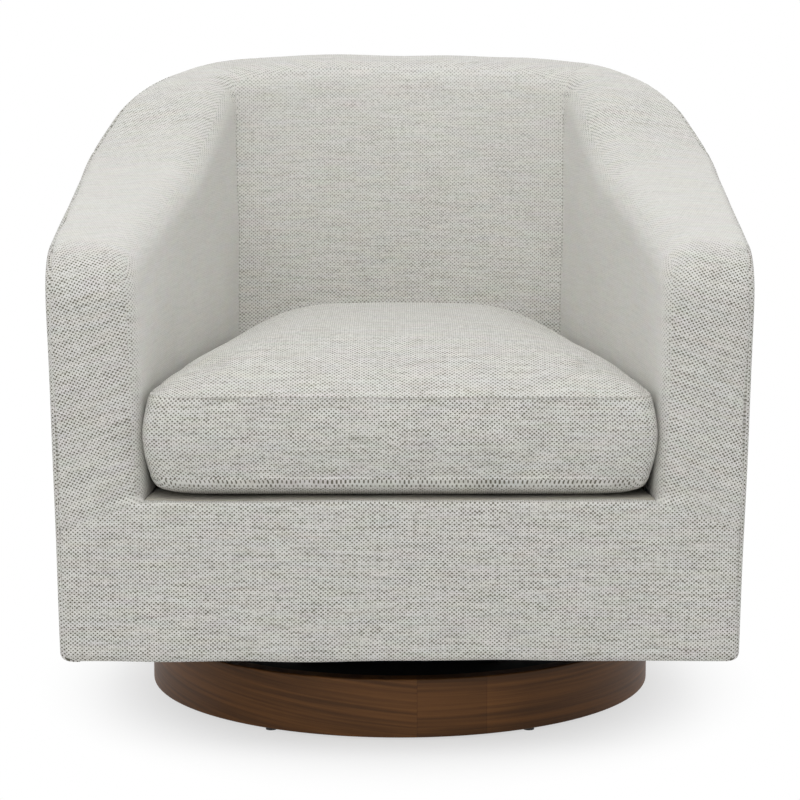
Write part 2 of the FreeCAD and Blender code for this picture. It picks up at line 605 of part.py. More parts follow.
# The bracket that swivels, the axle, and the cradle that rocks on it
def rocker():
    bracket = new_body("swivel_bracket")
    floor = Drawing("bracket_floor", "XY", BRACKET_LOW, bracket)
    floor.box("-1 * bracket_half", "-1 * bracket_length", "bracket_half", "bracket_length")
    floor.circle("0", "0", "pin_radius + seat_gap")
    pad(bracket, floor, "steel")
    for side, level in (("left", "-1 * bracket_half"), ("right", "bracket_half - steel")):
        wall = Drawing("bracket_ear_" + side, "YZ", level, bracket)
        ear(wall, "ear_length", BRACKET_LOW + " + steel / 2", "axle_radius + seat_gap")
        pad(bracket, wall, "steel")
    keep(bracket)

    cradle = new_body("rocker_cradle")
    top = Drawing("cradle_top", "XY", CRADLE_TOP + " - steel", cradle)
    top.box("-1 * cradle_half", "-1 * cradle_length", "cradle_half", "cradle_length")
    four(top, top.circle, "cradle_bolt_x", "cradle_bolt_y", "bolt_radius + seat_gap")
    pad(cradle, top, "steel")
    inner = "(bracket_half + ear_space)"
    for side, level in (("left", "-1 * (%s + steel)" % inner), ("right", inner)):
        wall = Drawing("cradle_ear_" + side, "YZ", level, cradle)
        ear(wall, "cradle_ear_length", CRADLE_TOP + " - steel / 2", "axle_radius + 2 * seat_gap + bushing_wall", True)
        pad(cradle, wall, "steel")
    keep(cradle)

    bolts, nuts, bushings = new_body("axle_bolts"), new_body("axle_nuts"), new_body("axle_bushings")
    outside = "(bracket_half + ear_space + steel)"
    for side, sign in (("left", "-1 * "), ("right", "")):
        back = side == "left"

        def piece(body, name, level, draw, length):
            drawing = Drawing(name + "_" + side, "YZ", sign + "(" + level + ")", body)
            draw(drawing)
            pad(body, drawing, length, back)

        piece(bolts, "axle_head", "bracket_half - steel - axle_head_height",
              lambda d: d.hexagon("0", AXLE_Z, "axle_head"), "axle_head_height")
        piece(bolts, "axle_shank", "bracket_half - steel", lambda d: d.circle("0", AXLE_Z, "axle_radius"),
              "2 * steel + ear_space + axle_head_height + bolt_thread")
        piece(nuts, "axle_nut", outside + " + 2 * seat_gap",
              lambda d: d.hexagon("0", AXLE_Z, "axle_head").circle("0", AXLE_Z, "axle_radius"),
              "axle_head_height")
        piece(bushings, "bushing_flange", "bracket_half + seat_gap",
              lambda d: d.circle("0", AXLE_Z, "bushing_flange").circle("0", AXLE_Z, "axle_radius + seat_gap"),
              "ear_space - 2 * seat_gap")
        piece(bushings, "bushing_sleeve", "bracket_half + ear_space - seat_gap",
              lambda d: d.circle("0", AXLE_Z, "axle_radius + seat_gap + bushing_wall")
              .circle("0", AXLE_Z, "axle_radius + seat_gap"),
              "steel + 2 * seat_gap")
    for body in (bolts, nuts, bushings):
        keep(body)

    bolts = new_body("cradle_bolts")
    head_low = CRADLE_TOP + " - steel - bolt_head_height"
    heads = Drawing("cradle_bolt_heads", "XY", head_low, bolts)
    pad(bolts, four(heads, heads.hexagon, "cradle_bolt_x", "cradle_bolt_y", "bolt_head"), "bolt_head_height")
    shanks = Drawing("cradle_bolt_shanks", "XY", CRADLE_TOP + " - steel", bolts)
    four(shanks, shanks.circle, "cradle_bolt_x", "cradle_bolt_y", "bolt_radius")
    pad(bolts, shanks, "steel + frame_board + cradle_bolt_grip")
    keep(bolts)

    stops = new_body("bump_stops")
    bump = Drawing("bump_round", "XY", BRACKET_TOP, stops)
    for y in ("-1 * bump_y", "bump_y"):
        bump.circle("0", y, "bump_radius")
    drop = "(bump_y + bump_radius) * %s" % sin("rock_limit")
    pad(stops, bump, "%s - steel - %s - %s - bump_gap" % (CRADLE_TOP, BRACKET_TOP, drop))
    keep(stops)

    low = size(BRACKET_TOP) + size("coil_wire")
    high = size(CRADLE_TOP) - size("steel") - size("seat_gap") - size("coil_wire")
    for label, sign in (("front_rocker_springs", -1), ("rear_rocker_springs", 1)):
        coils = []
        for side in (-1, 1):
            line = Part.makeHelix((high - low) / size("coil_turns"), high - low, size("coil_radius"))
            start = FreeCAD.Vector(size("coil_radius"), 0, 0)
            wire = Part.Wire([Part.makeCircle(size("coil_wire"), start, FreeCAD.Vector(0, 1, 0))])
            coil = Part.Wire(line.Edges).makePipeShell([wire], True, True)
            coil.translate(FreeCAD.Vector(side * size("coil_x"), sign * size("coil_y"), low))
            coils.append(coil)
        keep(feature(label, Part.makeCompound(coils)))


# The three nested forms of the upholstered body: cover, padding and the hollow for the frame
def outer_outline(name, level, inset, front):
    wide = "(low_half + side_flare * (%s - body_bottom) - %s)" % (level, inset)
    return Drawing(name, "XY", level).outline([
        ("-1 * " + wide, "-1 * " + front),
        (wide, "-1 * " + front),
        (wide, "barrel_y"),
        ("0", "barrel_y + " + wide, wide),
        ("-1 * " + wide, "barrel_y", wide),
    ])


def inner_outline(name, level, inset, front):
    rise = "(%s - deck_top)" % level
    corner = "(corner_low + corner_lean * %s + %s)" % (rise, inset)
    along = "(corner_y + corner_back * %s + %s)" % (rise, inset)
    arm = "(arm_gap_low + arm_gap_lean * %s + %s)" % (rise, inset)
    bow = "(back_bow + back_bow_rise * %s)" % rise
    ahead = "(%s + (%s - %s) * (%s - body_front) / (%s + body_front))" % (arm, arm, corner, front, along)
    bend = "(((%s - %s)^2 + (%s + %s)^2) / (8 * arm_bow) + arm_bow / 2)" % (ahead, corner, along, front)
    return Drawing(name, "XY", level).outline([
        ("-1 * " + ahead, "-1 * " + front, bend),
        (ahead, "-1 * " + front),
        (corner, along, bend),
        ("-1 * " + corner, along, "(%s^2 + %s^2) / (2 * %s)" % (corner, bow, bow)),
    ])


def side_outline(name, drop, front, bottom):
    """The body seen from its right side, lowered by drop square to its top line."""
    a, b = "arm_slope", "shoulder_slope"
    y1, z1 = "arm_line_y", "arm_line_z"
    y2 = "(arm_line_y + hollow_radius * (%s - %s))" % (sin(b), sin(a))
    z2 = "(arm_line_z + hollow_radius * (%s - %s))" % (cos(a), cos(b))
    crown = "((back_top - %s) / (1 - %s))" % (z2, cos(b))
    y3 = "(%s + %s * %s)" % (y2, crown, sin(b))
    line_z = "(%s - %s / %s - %s * (%s + %s))" % (z1, drop, cos(a), tan(a), front, y1)
    reach = "((arm_nose - %s) * %s)" % (drop, tan("(90 - arm_slope) / 2"))
    behind = "barrel_y + low_half + " + CLEAR
    return Drawing(name, "YZ", "-1 * ring_radius * 2").outline([
        ("-1 * " + front, bottom),
        (behind, bottom),
        (behind, "back_top - " + drop),
        (y3, "back_top - " + drop),
        ("%s + %s * %s" % (y2, drop, sin(b)), "%s - %s * %s" % (z2, drop, cos(b)), "%s - %s" % (crown, drop)),
        ("%s + %s * %s" % (y1, drop, sin(a)), "%s - %s * %s" % (z1, drop, cos(a)),
         "hollow_radius + " + drop, "in"),
        ("-1 * %s + %s * %s" % (front, reach, cos(a)), "%s + %s * %s" % (line_z, reach, sin(a))),
        ("-1 * " + front, "%s - %s" % (line_z, reach), "arm_nose - " + drop),
    ])


def form(name, outer, inner, drop, front, bottom, deck):
    """The body's form with its walls moved in by outer and inner and its top lowered by drop."""
    shell = loft(name + "_shell", [
        outer_outline(name + "_outer_low", "body_bottom", outer, front),
        outer_outline(name + "_outer_high", "loft_top", outer, front),
    ])
    side = extrusion(name + "_side", side_outline(name + "_profile", drop, front, bottom), "ring_radius * 4")
    block_form = boolean("Common", name + "_block", shell, side)
    well = loft(name + "_well", [
        inner_outline(name + "_inner_low", deck, inner, CLEAR_FRONT),
        inner_outline(name + "_inner_high", "loft_top", inner, CLEAR_FRONT),
    ])
    doc.recompute()
    upright = []
    for number, edge in enumerate(well.Shape.Edges, start=1):
        ends = [v.Point for v in edge.Vertexes]
        if abs(ends[0].z - ends[1].z) > 100 and min(p.y for p in ends) > 0:
            upright.append((number, "corner_round"))
    corners = rounded(name + "_corners", well, upright)
    return boolean("Cut", name + "_open", block_form, corners)


def edges_between(shape, first, second):
    """Numbers of the edges that lie on a face of each kind."""
    found = []
    for number, edge in enumerate(shape.Edges, start=1):
        faces = shape.ancestorsOfType(edge, Part.Face)
        if len(faces) == 2:
            a, b = faces
            if (first(a) and second(b)) or (first(b) and second(a)):
                found.append(number)
    return found


def middle_normal(face):
    u0, u1, v0, v1 = face.ParameterRange
    return face.normalAt((u0 + u1) / 2, (v0 + v1) / 2)


def soften(name, solid, inset, front):
    """Rounds the outer edge of the top and front, then the inner one, then the lower edge."""
    doc.recompute()
    deck = size("deck_top") - size(inset)

    def is_wall(face):
        box = face.BoundBox
        return abs(middle_normal(face).z) < 0.2 and box.ZMax - box.ZMin > 100 and box.YMax > 5 - size(front)

    def is_outer(face):
        box = face.BoundBox
        return is_wall(face) and max(abs(box.XMin), abs(box.XMax)) > size("low_half") - 10

    def is_inner(face):
        return is_wall(face) and not is_outer(face)

    def is_top(face):
        box = face.BoundBox
        if box.YMax < 0.5 - size(front):
            return True
        return box.ZMin > deck + 50 and middle_normal(face).z > 0.25

    for step, side, radius in (("outer", is_outer, "outer_edge"), ("inner", is_inner, "inner_edge")):
        numbers = edges_between(solid.Shape, is_top, side)
        solid = rounded("%s_%s_round" % (name, step), solid, [(n, radius + " - " + inset) for n in numbers])
        doc.recompute()
    bottom = size("body_bottom") + size(inset) + 0.1
    low = [n for n, edge in enumerate(solid.Shape.Edges, start=1) if max(v.Z for v in edge.Vertexes) < bottom]
    low = [n for n in low if solid.Shape.Edges[n - 1].CenterOfMass.z < bottom]
    solid = rounded(name + "_form", solid, [(n, "bottom_edge - " + inset) for n in low])
    doc.recompute()
    return solid


def split(name, whole, zone):
    """The part of a solid in a zone, and the part outside it."""
    return boolean("Common", name + "_in", whole, zone), boolean("Cut", name + "_out", whole, zone)


def slab(name, plane, corners, start, length):
    """An outline drawn in a plane and given a length from a level of it."""
    return extrusion(name, Drawing(name + "_outline", plane, start).outline(corners), length)


# The covers, the padding and the boards of the body
def upholstery():
    far = "(2 * ring_radius)"
    left = block("left_half", ("-1 * " + far, "-1 * " + far, "0"), ("0", far, "loft_top * 2"))
    right = block("right_half", ("0", "-1 * " + far, "0"), (far, far, "loft_top * 2"))
    ahead = block("arm_part", ("-1 * " + far, "-1 * " + far, "0"), (far, "arm_seam_y", "loft_top * 2"))
    wedges = []
    for name, level in (("low", CLEAR_LOW), ("high", CLEAR_HIGH)):
        x = "(corner_low + corner_lean * (%s - deck_top))" % level
        y = "(corner_y + corner_back * (%s - deck_top))" % level
        wedges.append(Drawing("back_zone_" + name, "XY", level).outline([
            ("0", y + " - 90"),
            (x, y),
            (x + " + body_front", y + " + body_front"),
            ("-1 * (%s + body_front)" % x, y + " + body_front"),
            ("-1 * " + x, y),
        ]))
    back = loft("back_zone", wedges)
    mitre = [
        ("-1 * %s" % far, "0"),
        (far, "0"),
        (far, "deck_top - front_seam_rise * (%s - arm_gap_low) / (low_half - arm_gap_low)" % far),
        ("arm_gap_low", "deck_top"),
        ("-1 * arm_gap_low", "deck_top"),
        ("-1 * %s" % far, "deck_top - front_seam_rise * (%s - arm_gap_low) / (low_half - arm_gap_low)" % far),
    ]

    # the covers
    outside = form("cover", "0", "0", "0", "body_front", "body_bottom", "deck_top")
    outside = soften("cover", outside, "0", "body_front")
    inside = form("padding", "skin", "skin", "skin", "(body_front - skin)", "body_bottom + skin", "(deck_top - skin)")
    inside = soften("padding", inside, "skin", "(body_front - skin)")
    skin = boolean("Cut", "skin_shell", outside, inside)
    seam_front = "(body_front - seam_drop)"
    below_seam = extrusion(
        "below_seam", side_outline("seam_profile", "seam_drop", seam_front, CLEAR_LOW), "ring_radius * 4")
    core = loft("inside_seam", [
        outer_outline("core_low", CLEAR_LOW, "hem", CLEAR_FRONT),
        outer_outline("core_high", "loft_top", "hem", CLEAR_FRONT),
    ])
    outer_zone = boolean("Cut", "outer_zone", below_seam, core)
    hem_front = "(body_front - hem)"
    outer, rest = split("outer_covers", skin, outer_zone)
    outer_arms, outer_back = split("outer_arm_covers", outer, ahead)
    keep(boolean("Common", "outer_arm_cover_left", outer_arms, left))
    keep(boolean("Common", "outer_arm_cover_right", outer_arms, right))
    keep(outer_back, "outer_back_cover")

    deck_zone = boolean("Common", "deck_zone", loft("deck_walls", [
        inner_outline("deck_zone_low", "(deck_top - 10)", "0", CLEAR_FRONT),
        inner_outline("deck_zone_high", "deck_top", "0", CLEAR_FRONT),
    ]), block("deck_slab", ("-1 * " + far, "-1 * " + hem_front, "0"), (far, far, "loft_top")))
    deck, rest = split("deck", rest, deck_zone)
    keep(deck, "deck_cover")

    under = block("under_slab", ("-1 * " + far, "-1 * " + hem_front, "0"), (far, far, "body_bottom + skin"))
    dust, rest = split("dust", rest, boolean("Common", "dust_zone", core, under))
    opening = block(
        "mechanism_opening",
        ("-1 * cradle_half - opening_room", "-1 * cradle_length - opening_room", "0"),
        ("cradle_half + opening_room", "cradle_length + opening_room", "body_bottom * 2"),
    )
    keep(boolean("Cut", "dust_cover", dust, opening))

    front_zone = slab("front_zone", "XZ", mitre, "-1 * " + hem_front, CLEAR + " + hem")
    front, rest = split("front", rest, front_zone)
    keep(front, "front_rail_cover")
    back_cover, arms = split("inner_covers", rest, back)
    keep(back_cover, "inner_back_cover")
    keep(boolean("Common", "inner_arm_cover_left", arms, left))
    keep(boolean("Common", "inner_arm_cover_right", arms, right))

    # the foam and the boards under them
    frame_side = extrusion(
        "frame_side", side_outline("frame_profile", "(skin + foam)", FRAME_FRONT, CLEAR_LOW),
        "ring_radius * 4")
    frame_well = loft("frame_well", [
        inner_outline("frame_well_low", DECK_LOW, "(skin + foam)", CLEAR_FRONT),
        inner_outline("frame_well_high", "loft_top", "(skin + foam)", CLEAR_FRONT),
    ])
    foam = boolean("Cut", "foam_whole", inside, boolean("Cut", "frame_zone", frame_side, frame_well))
    pad_zone = boolean("Common", "pad_zone", loft("pad_walls", [
        inner_outline("pad_zone_low", DECK_LOW, "skin", CLEAR_FRONT),
        inner_outline("pad_zone_high", "(deck_top - skin)", "skin", CLEAR_FRONT),
    ]), block("pad_slab", ("-1 * " + far, "-1 * " + FRAME_FRONT, "0"), (far, far, "loft_top")))
    deck_pad, foam = split("pad", foam, pad_zone)
    keep(deck_pad, "deck_pad")
    front_zone = slab("front_foam_zone", "XZ", mitre, "-1 * " + FRAME_FRONT, CLEAR + " + skin + front_foam")
    front, foam = split("front_padding", foam, front_zone)
    keep(front, "front_foam")
    back_foam, arms = split("inner_padding", foam, back)
    keep(back_foam, "back_foam")
    keep(boolean("Common", "arm_foam_left", arms, left))
    keep(boolean("Common", "arm_foam_right", arms, right))

    hollow = loft("hollow_shell", [
        outer_outline("hollow_low", CLEAR_LOW, "(skin + outer_board)", CLEAR_FRONT),
        outer_outline("hollow_high", "loft_top", "(skin + outer_board)", CLEAR_FRONT),
    ])
    boards = boolean("Cut", "outer_boards", boolean("Common", "board_shell", inside, frame_side), hollow)
    arm_boards, back_board = split("arm_boards", boards, ahead)
    keep(boolean("Common", "outer_arm_board_left", arm_boards, left))
    keep(boolean("Common", "outer_arm_board_right", arm_boards, right))
    keep(back_board, "outer_back_board")
    doc.recompute()


def arm_rail_line(y, drop):
    """Height of the arm rail's top, or of a line square below it, at a y."""
    return "(arm_line_z - (arm_rail_drop + %s) / %s + %s * (%s - arm_line_y))" % (
        drop, cos("arm_slope"), tan("arm_slope"), y)


def both_sides(body, name, plane, near, thick, draw):
    """The same outline on the left and the right, from near outwards."""
    for side, level in (("left", "-1 * (%s + %s)" % (near, thick)), ("right", near)):
        drawing = Drawing(name + "_" + side, plane, level, body)
        draw(drawing)
        pad(body, drawing, thick)


# The wooden frame in the body
def frame():
    low = CRADLE_TOP
    board = new_body("bottom_board")
    rear = Drawing("bottom_board_outline", "XY", low, board)
    wide = "(low_half - bottom_edge - seat_gap)"
    rear.outline([
        ("-1 * " + wide, "-1 * " + FRAME_FRONT),
        (wide, "-1 * " + FRAME_FRONT),
        (wide, "barrel_y"),
        ("0", "barrel_y + " + wide, wide),
        ("-1 * " + wide, "barrel_y", wide),
    ])
    four(rear, rear.circle, "cradle_bolt_x", "cradle_bolt_y", "bolt_radius + seat_gap")
    pad(board, rear, "frame_board")
    keep(board)

    rails = new_body("mounting_rails")
    both_sides(rails, "mounting_rail", "YZ", "mount_rail_x", "mount_rail_width", lambda d: d.box(
        "-1 * (%s - rail_thick)" % FRAME_FRONT, FRAME_TOP, "rear_rail_y", FRAME_TOP + " + mount_rail_height"))
    pilot = Drawing("mounting_pilots", "XY", FRAME_TOP, rails)
    four(pilot, pilot.circle, "cradle_bolt_x", "cradle_bolt_y", "bolt_radius + seat_gap")
    cut_away(rails, pilot, "cradle_bolt_grip + seat_gap", back=True)
    keep(rails)

    front = new_body("front_rail")
    bar = Drawing("front_rail_outline", "XY", FRAME_TOP, front)
    bar.box("-1 * post_in", "-1 * " + FRAME_FRONT, "post_in", "-1 * (%s - rail_thick)" % FRAME_FRONT)
    pad(front, bar, "rail_height")
    keep(front)
    rear = new_body("rear_rail")
    bar = Drawing("rear_rail_outline", "XY", FRAME_TOP, rear)
    bar.box("-1 * rear_rail_half", "rear_rail_y", "rear_rail_half", "rear_rail_y + rail_thick")
    pad(rear, bar, "rail_height")
    keep(rear)
    sides = new_body("side_rails")
    both_sides(sides, "side_rail", "YZ", "post_in", "rail_thick", lambda d: d.box(
        "-1 * (%s - post_set - rail_thick)" % FRAME_FRONT, FRAME_TOP, "side_rail_end", RAIL_TOP))
    keep(sides)

    def post(drawing, y, foot):
        end = "(%s + rail_thick)" % y
        drawing.outline([(y, foot), (end, foot), (end, arm_rail_line(end, "arm_rail_thick")),
                         (y, arm_rail_line(y, "arm_rail_thick"))])

    width = "(post_out - post_in)"
    posts = new_body("front_posts")
    both_sides(posts, "front_post", "YZ", "post_in", width,
               lambda d: post(d, "(-1 * (%s - post_set))" % FRAME_FRONT, FRAME_TOP))
    keep(posts)
    posts = new_body("side_posts")
    both_sides(posts, "side_post", "YZ", "post_in", width, lambda d: post(d, "side_post_y", RAIL_TOP))
    keep(posts)
    rails = new_body("arm_rails")
    first, last = "(-1 * (%s - arm_rail_set))" % FRAME_FRONT, "(side_post_y + rail_thick)"
    both_sides(rails, "arm_rail", "YZ", "post_in", width, lambda d: d.outline([
        (first, arm_rail_line(first, "arm_rail_thick")),
        (last, arm_rail_line(last, "arm_rail_thick")),
        (last, arm_rail_line(last, "0")),
        (first, arm_rail_line(first, "0")),
    ]))
    keep(rails)

    blocks = new_body("corner_blocks")
    for side, sign in (("left", "-1 * "), ("right", "")):
        for name, x, y, dx, dy in (
            ("front", "post_in", "-1 * (%s - rail_thick)" % FRAME_FRONT, "-", "+"),
            ("rear", "rear_rail_half", "rear_rail_y", "-", "-"),
        ):
            corner = Drawing("block_%s_%s" % (name, side), "XY", FRAME_TOP, blocks)
            corner.outline([
                (sign + "(%s)" % x, y),
                (sign + "(%s %s block_side)" % (x, dx), y),
                (sign + "(%s)" % x, "%s %s block_side" % (y, dy)),
            ])
            pad(blocks, corner, "block_height")
    keep(blocks)

    posts = new_body("back_posts")
    for number in range(2):
        angle = "(back_post_angle + %d * back_post_step)" % number
        for side in ("right", "left"):
            turn = angle if side == "right" else "(180 - %s)" % angle
            corners = []
            for along, across in (("0", "-1"), ("rail_thick", "-1"), ("rail_thick", "1"), ("0", "1")):
                reach = "(back_post_in + %s)" % along
                half = "(%s * back_post_width / 2)" % across
                corners.append(("%s * %s - %s * %s" % (reach, cos(turn), half, sin(turn)),
                                "barrel_y + %s * %s + %s * %s" % (reach, sin(turn), half, cos(turn))))
            post_end = Drawing("back_post_%s_%d" % (side, number), "XY", FRAME_TOP, posts)
            post_end.outline(corners)
            pad(posts, post_end, "back_rail_low - %s" % FRAME_TOP)
    keep(posts)

    rail = new_body("back_top_rail")
    near, far = "back_rail_in", "(back_rail_in + back_rail_width)"
    arc = Drawing("back_top_rail_outline", "XY", "back_rail_low", rail)
    a = "back_rail_angle"
    arc.outline([
        ("%s * %s" % (near, cos(a)), "barrel_y + %s * %s" % (near, sin(a))),
        ("%s * %s" % (far, cos(a)), "barrel_y + %s * %s" % (far, sin(a))),
        ("0", "barrel_y + " + far, far),
        ("-1 * %s * %s" % (far, cos(a)), "barrel_y + %s * %s" % (far, sin(a)), far),
        ("-1 * %s * %s" % (near, cos(a)), "barrel_y + %s * %s" % (near, sin(a))),
        ("0", "barrel_y + " + near, near, "in"),
        ("%s * %s" % (near, cos(a)), "barrel_y + %s * %s" % (near, sin(a)), near, "in"),
    ][1:])
    pad(rail, arc, "back_rail_thick")
    keep(rail)


# The zigzag springs of the seat and their clips
def seat_springs():
    z = size(RAIL_TOP) + size("wire_rise")
    start = size("-1 * (%s) + rail_thick / 2 - spring_past" % FRAME_FRONT)
    finish = size("rear_rail_y + rail_thick / 2 + spring_past")
    bend, run, wire = size("loop_radius"), size("loop_run / 2"), size("wire_radius")
    turns = int((finish - start) / (2 * bend) - 1)
    pitch = (finish - start) / (turns + 1)
    springs, clips = [], []
    for number in range(round(size("spring_count"))):
        x = (number - (size("spring_count") - 1) / 2) * size("spring_step")
        points, edges, side = [], [], 1
        place = FreeCAD.Vector(x - run, start, z)
        for turn in range(turns + 1):
            across = FreeCAD.Vector(x + side * run, place.y, z)
            edges.append(Part.LineSegment(place, across).toShape())
            place = across
            if turn < turns:
                after = place + FreeCAD.Vector(0, pitch, 0)
                top = (place + after) * 0.5 + FreeCAD.Vector(side * pitch / 2, 0, 0)
                edges.append(Part.Arc(place, top, after).toShape())
                place = after
            side = -side
        path = Part.Wire(edges)
        ring = Part.Wire([Part.makeCircle(wire, FreeCAD.Vector(x - run, start, z), FreeCAD.Vector(1, 0, 0))])
        springs.append(path.makePipeShell([ring], True, False))
        half, gap, steel = size("clip_width / 2"), size("seat_gap"), size("clip_steel")
        lip, lip_steel = size("clip_lip"), size("clip_lip_steel")
        for y, inward in ((start, 1), (start + pitch * turns, -1)):
            outline = [
                (-inward * (wire + gap + steel), size(RAIL_TOP)),
                (inward * size("clip_length / 2"), size(RAIL_TOP)),
                (inward * size("clip_length / 2"), size(RAIL_TOP) + steel),
                (-inward * (wire + gap), size(RAIL_TOP) + steel),
                (-inward * (wire + gap), z + wire + gap),
                (inward * (wire + lip), z + wire + gap),
                (inward * (wire + lip), z + wire + gap + lip_steel),
                (-inward * (wire + gap + steel), z + wire + gap + lip_steel),
            ]
            loop = [FreeCAD.Vector(x - half, y + a, b) for a, b in outline]
            face = Part.Face(Part.makePolygon(loop + loop[:1]))
            clips.append(face.extrude(FreeCAD.Vector(2 * half, 0, 0)))
    keep(feature("seat_springs", Part.makeCompound(springs)))
    keep(feature("spring_clips", Part.makeCompound(clips)))


# The loose cushion: height as a share of its own, and how far its outline shrinks there
CUSHION = [
    (0.003, 0.900), (0.120, 0.978), (0.420, 1.000), (0.690, 0.985), (0.739, 0.940), (0.814, 0.840),
    (0.901, 0.680), (0.965, 0.480), (0.996, 0.240),
]


def cushion_form(name, inset):
    outlines = []
    for number, (height, share) in enumerate(CUSHION):
        level = "(deck_top + %s + (cushion_height - 2 * %s) * %s)" % (inset, inset, height)
        k = "(%s - %s / cushion_half)" % (share, inset)
        half, front = "(cushion_half * %s)" % k, "(cushion_middle - (cushion_front + cushion_middle) * %s)" % k
        x, turn = "(cushion_corner * %s)" % k, "(cushion_round * %s)" % k
        y = "(cushion_middle + (cushion_corner_y - cushion_middle) * %s)" % k
        bow = "(cushion_bow * %s)" % k
        bend = "(((%s - %s)^2 + (%s - %s - %s)^2) / (8 * arm_bow * %s) + arm_bow * %s / 2)" % (
            half, x, y, front, turn, k, k)
        outlines.append(Drawing("%s_%d" % (name, number), "XY", level).outline([
            ("-1 * %s + %s" % (half, turn), front, turn),
            ("%s - %s" % (half, turn), front),
            (half, front + " + " + turn, turn),
            (x, y, bend),
            ("-1 * " + x, y, "(%s^2 + %s^2) / (2 * %s)" % (x, bow, bow)),
            ("-1 * " + half, front + " + " + turn, bend),
        ]))
    return loft(name, outlines, ruled=False)


def cushion():
    whole, core = cushion_form("cushion_outside", "0"), cushion_form("seat_cushion_core", "cushion_cloth")
    keep(boolean("Cut", "seat_cushion_cover", whole, core))
    keep(core)
    zipper = new_body("zipper_tape")
    band = Drawing("zipper_band", "XY", "deck_top + zip_height - zip_width / 2", zipper)
    radius = "((cushion_corner^2 + cushion_bow^2) / (2 * cushion_bow) - cushion_cloth)"
    middle = "(cushion_corner_y + cushion_bow - cushion_cloth - %s)" % radius
    half = "(cushion_corner - zip_end)"
    for_y = "(%s + sqrt((%s)^2 - %s^2))"
    outside = "(%s + cushion_cloth + zip_thick)" % radius
    band.outline([
        (half, for_y % (middle, outside, half)),
        ("-1 * " + half, for_y % (middle, outside, half), outside),
        ("-1 * " + half, for_y % (middle, radius, half)),
        (half, for_y % (middle, radius, half), radius, "in"),
    ])
    pad(zipper, band, "zip_width")
    keep(boolean("Cut", "cushion_zipper", zipper, cushion_form("zipper_seat", "(-1 * seat_gap)")))


def check():
    bad = [o.Name for o in doc.Objects if "Invalid" in o.State or "Error" in o.State]
    for solid in KEPT:
        shape = solid.Shape
        if shape.isNull() or not shape.isValid() or not shape.Solids:
            bad.append(solid.Label)
    if bad:
        raise RuntimeError("failed: " + ", ".join(bad))


base()
bearing()
rocker()
frame()
seat_springs()
cushion()
doc.recompute()
check()
print("base, mechanism, frame and cushion: %d pieces" % len(KEPT))
upholstery()
check()
os.makedirs("parts", exist_ok=True)
for solid in KEPT:
    solid.Shape.exportStep("parts/%s.step" % solid.Label)
    box = solid.Shape.optimalBoundingBox(False, False)
    print("%-24s %3d solids %4d faces %9.1f cm3  z %.1f to %.1f" % (
        solid.Label, len(solid.Shape.Solids), len(solid.Shape.Faces), solid.Shape.Volume / 1000, box.ZMin, box.ZMax))
print("%d pieces" % len(KEPT))
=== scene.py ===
import math

import bmesh
import bpy
import numpy as np
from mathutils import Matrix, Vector
from mathutils.bvhtree import BVHTree


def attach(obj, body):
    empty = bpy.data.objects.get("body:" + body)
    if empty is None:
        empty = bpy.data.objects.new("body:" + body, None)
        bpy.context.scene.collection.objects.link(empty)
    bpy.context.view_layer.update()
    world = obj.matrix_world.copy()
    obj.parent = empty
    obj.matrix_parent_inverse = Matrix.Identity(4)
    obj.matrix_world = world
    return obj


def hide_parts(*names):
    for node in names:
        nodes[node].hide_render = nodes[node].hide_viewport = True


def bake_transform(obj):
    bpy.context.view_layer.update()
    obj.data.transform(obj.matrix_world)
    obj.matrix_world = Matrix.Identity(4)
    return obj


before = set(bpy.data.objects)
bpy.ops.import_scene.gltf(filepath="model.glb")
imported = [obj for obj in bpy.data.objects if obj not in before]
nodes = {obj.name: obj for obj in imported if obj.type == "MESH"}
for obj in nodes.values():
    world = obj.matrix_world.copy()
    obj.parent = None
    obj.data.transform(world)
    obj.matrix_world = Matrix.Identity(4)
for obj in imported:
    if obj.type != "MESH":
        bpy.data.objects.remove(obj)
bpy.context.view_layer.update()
scene = bpy.context.scene
scene.view_settings.view_transform = "Standard"
turn = 2 * math.pi


# Camera, white stage and soft studio light
camera = {"place": (0.0, -3.251, 0.834), "down": 8.39, "lens": 117.0, "sensor": 36.0}
stage = {
    "floor": 12.0, "glow": 0.60, "white": (1.0, 1.0, 1.0), "paint": (0.86, 0.86, 0.86),
    "shadowX": 0.47, "shadowY": 0.54, "fadeStart": 0.55,
}
lamps = {
    "over": {"place": (0.0, -0.85, 2.5), "aim": (0.0, 0.0, 0.4), "size": 2.2, "power": 26.0},
    "front": {"place": (-1.1, -3.4, 1.9), "aim": (0.0, 0.0, 0.4), "size": 2.0, "power": 18.5},
    "left": {"place": (-2.8, -1.2, 1.5), "aim": (0.0, 0.0, 0.4), "size": 1.6, "power": 6.5},
    "right": {"place": (2.8, -1.2, 1.5), "aim": (0.0, 0.0, 0.4), "size": 1.6, "power": 7.5},
    "rear": {"place": (0.6, 3.0, 2.0), "aim": (0.0, 0.0, 0.4), "size": 2.0, "power": 16.0},
}
skyStrength = 0.48


def addObject(name, data):
    found = bpy.data.objects.new(name, data)
    scene.collection.objects.link(found)
    return found


def aimed(found, place, target):
    found.location = place
    found.rotation_euler = (Vector(target) - Vector(place)).to_track_quat("-Z", "Y").to_euler()
    return found


def makeCamera():
    data = bpy.data.cameras.new("camera")
    data.lens = camera["lens"]
    data.sensor_width = camera["sensor"]
    found = addObject("camera", data)
    found.location = camera["place"]
    found.rotation_euler = (math.radians(90 - camera["down"]), 0, 0)
    scene.camera = found


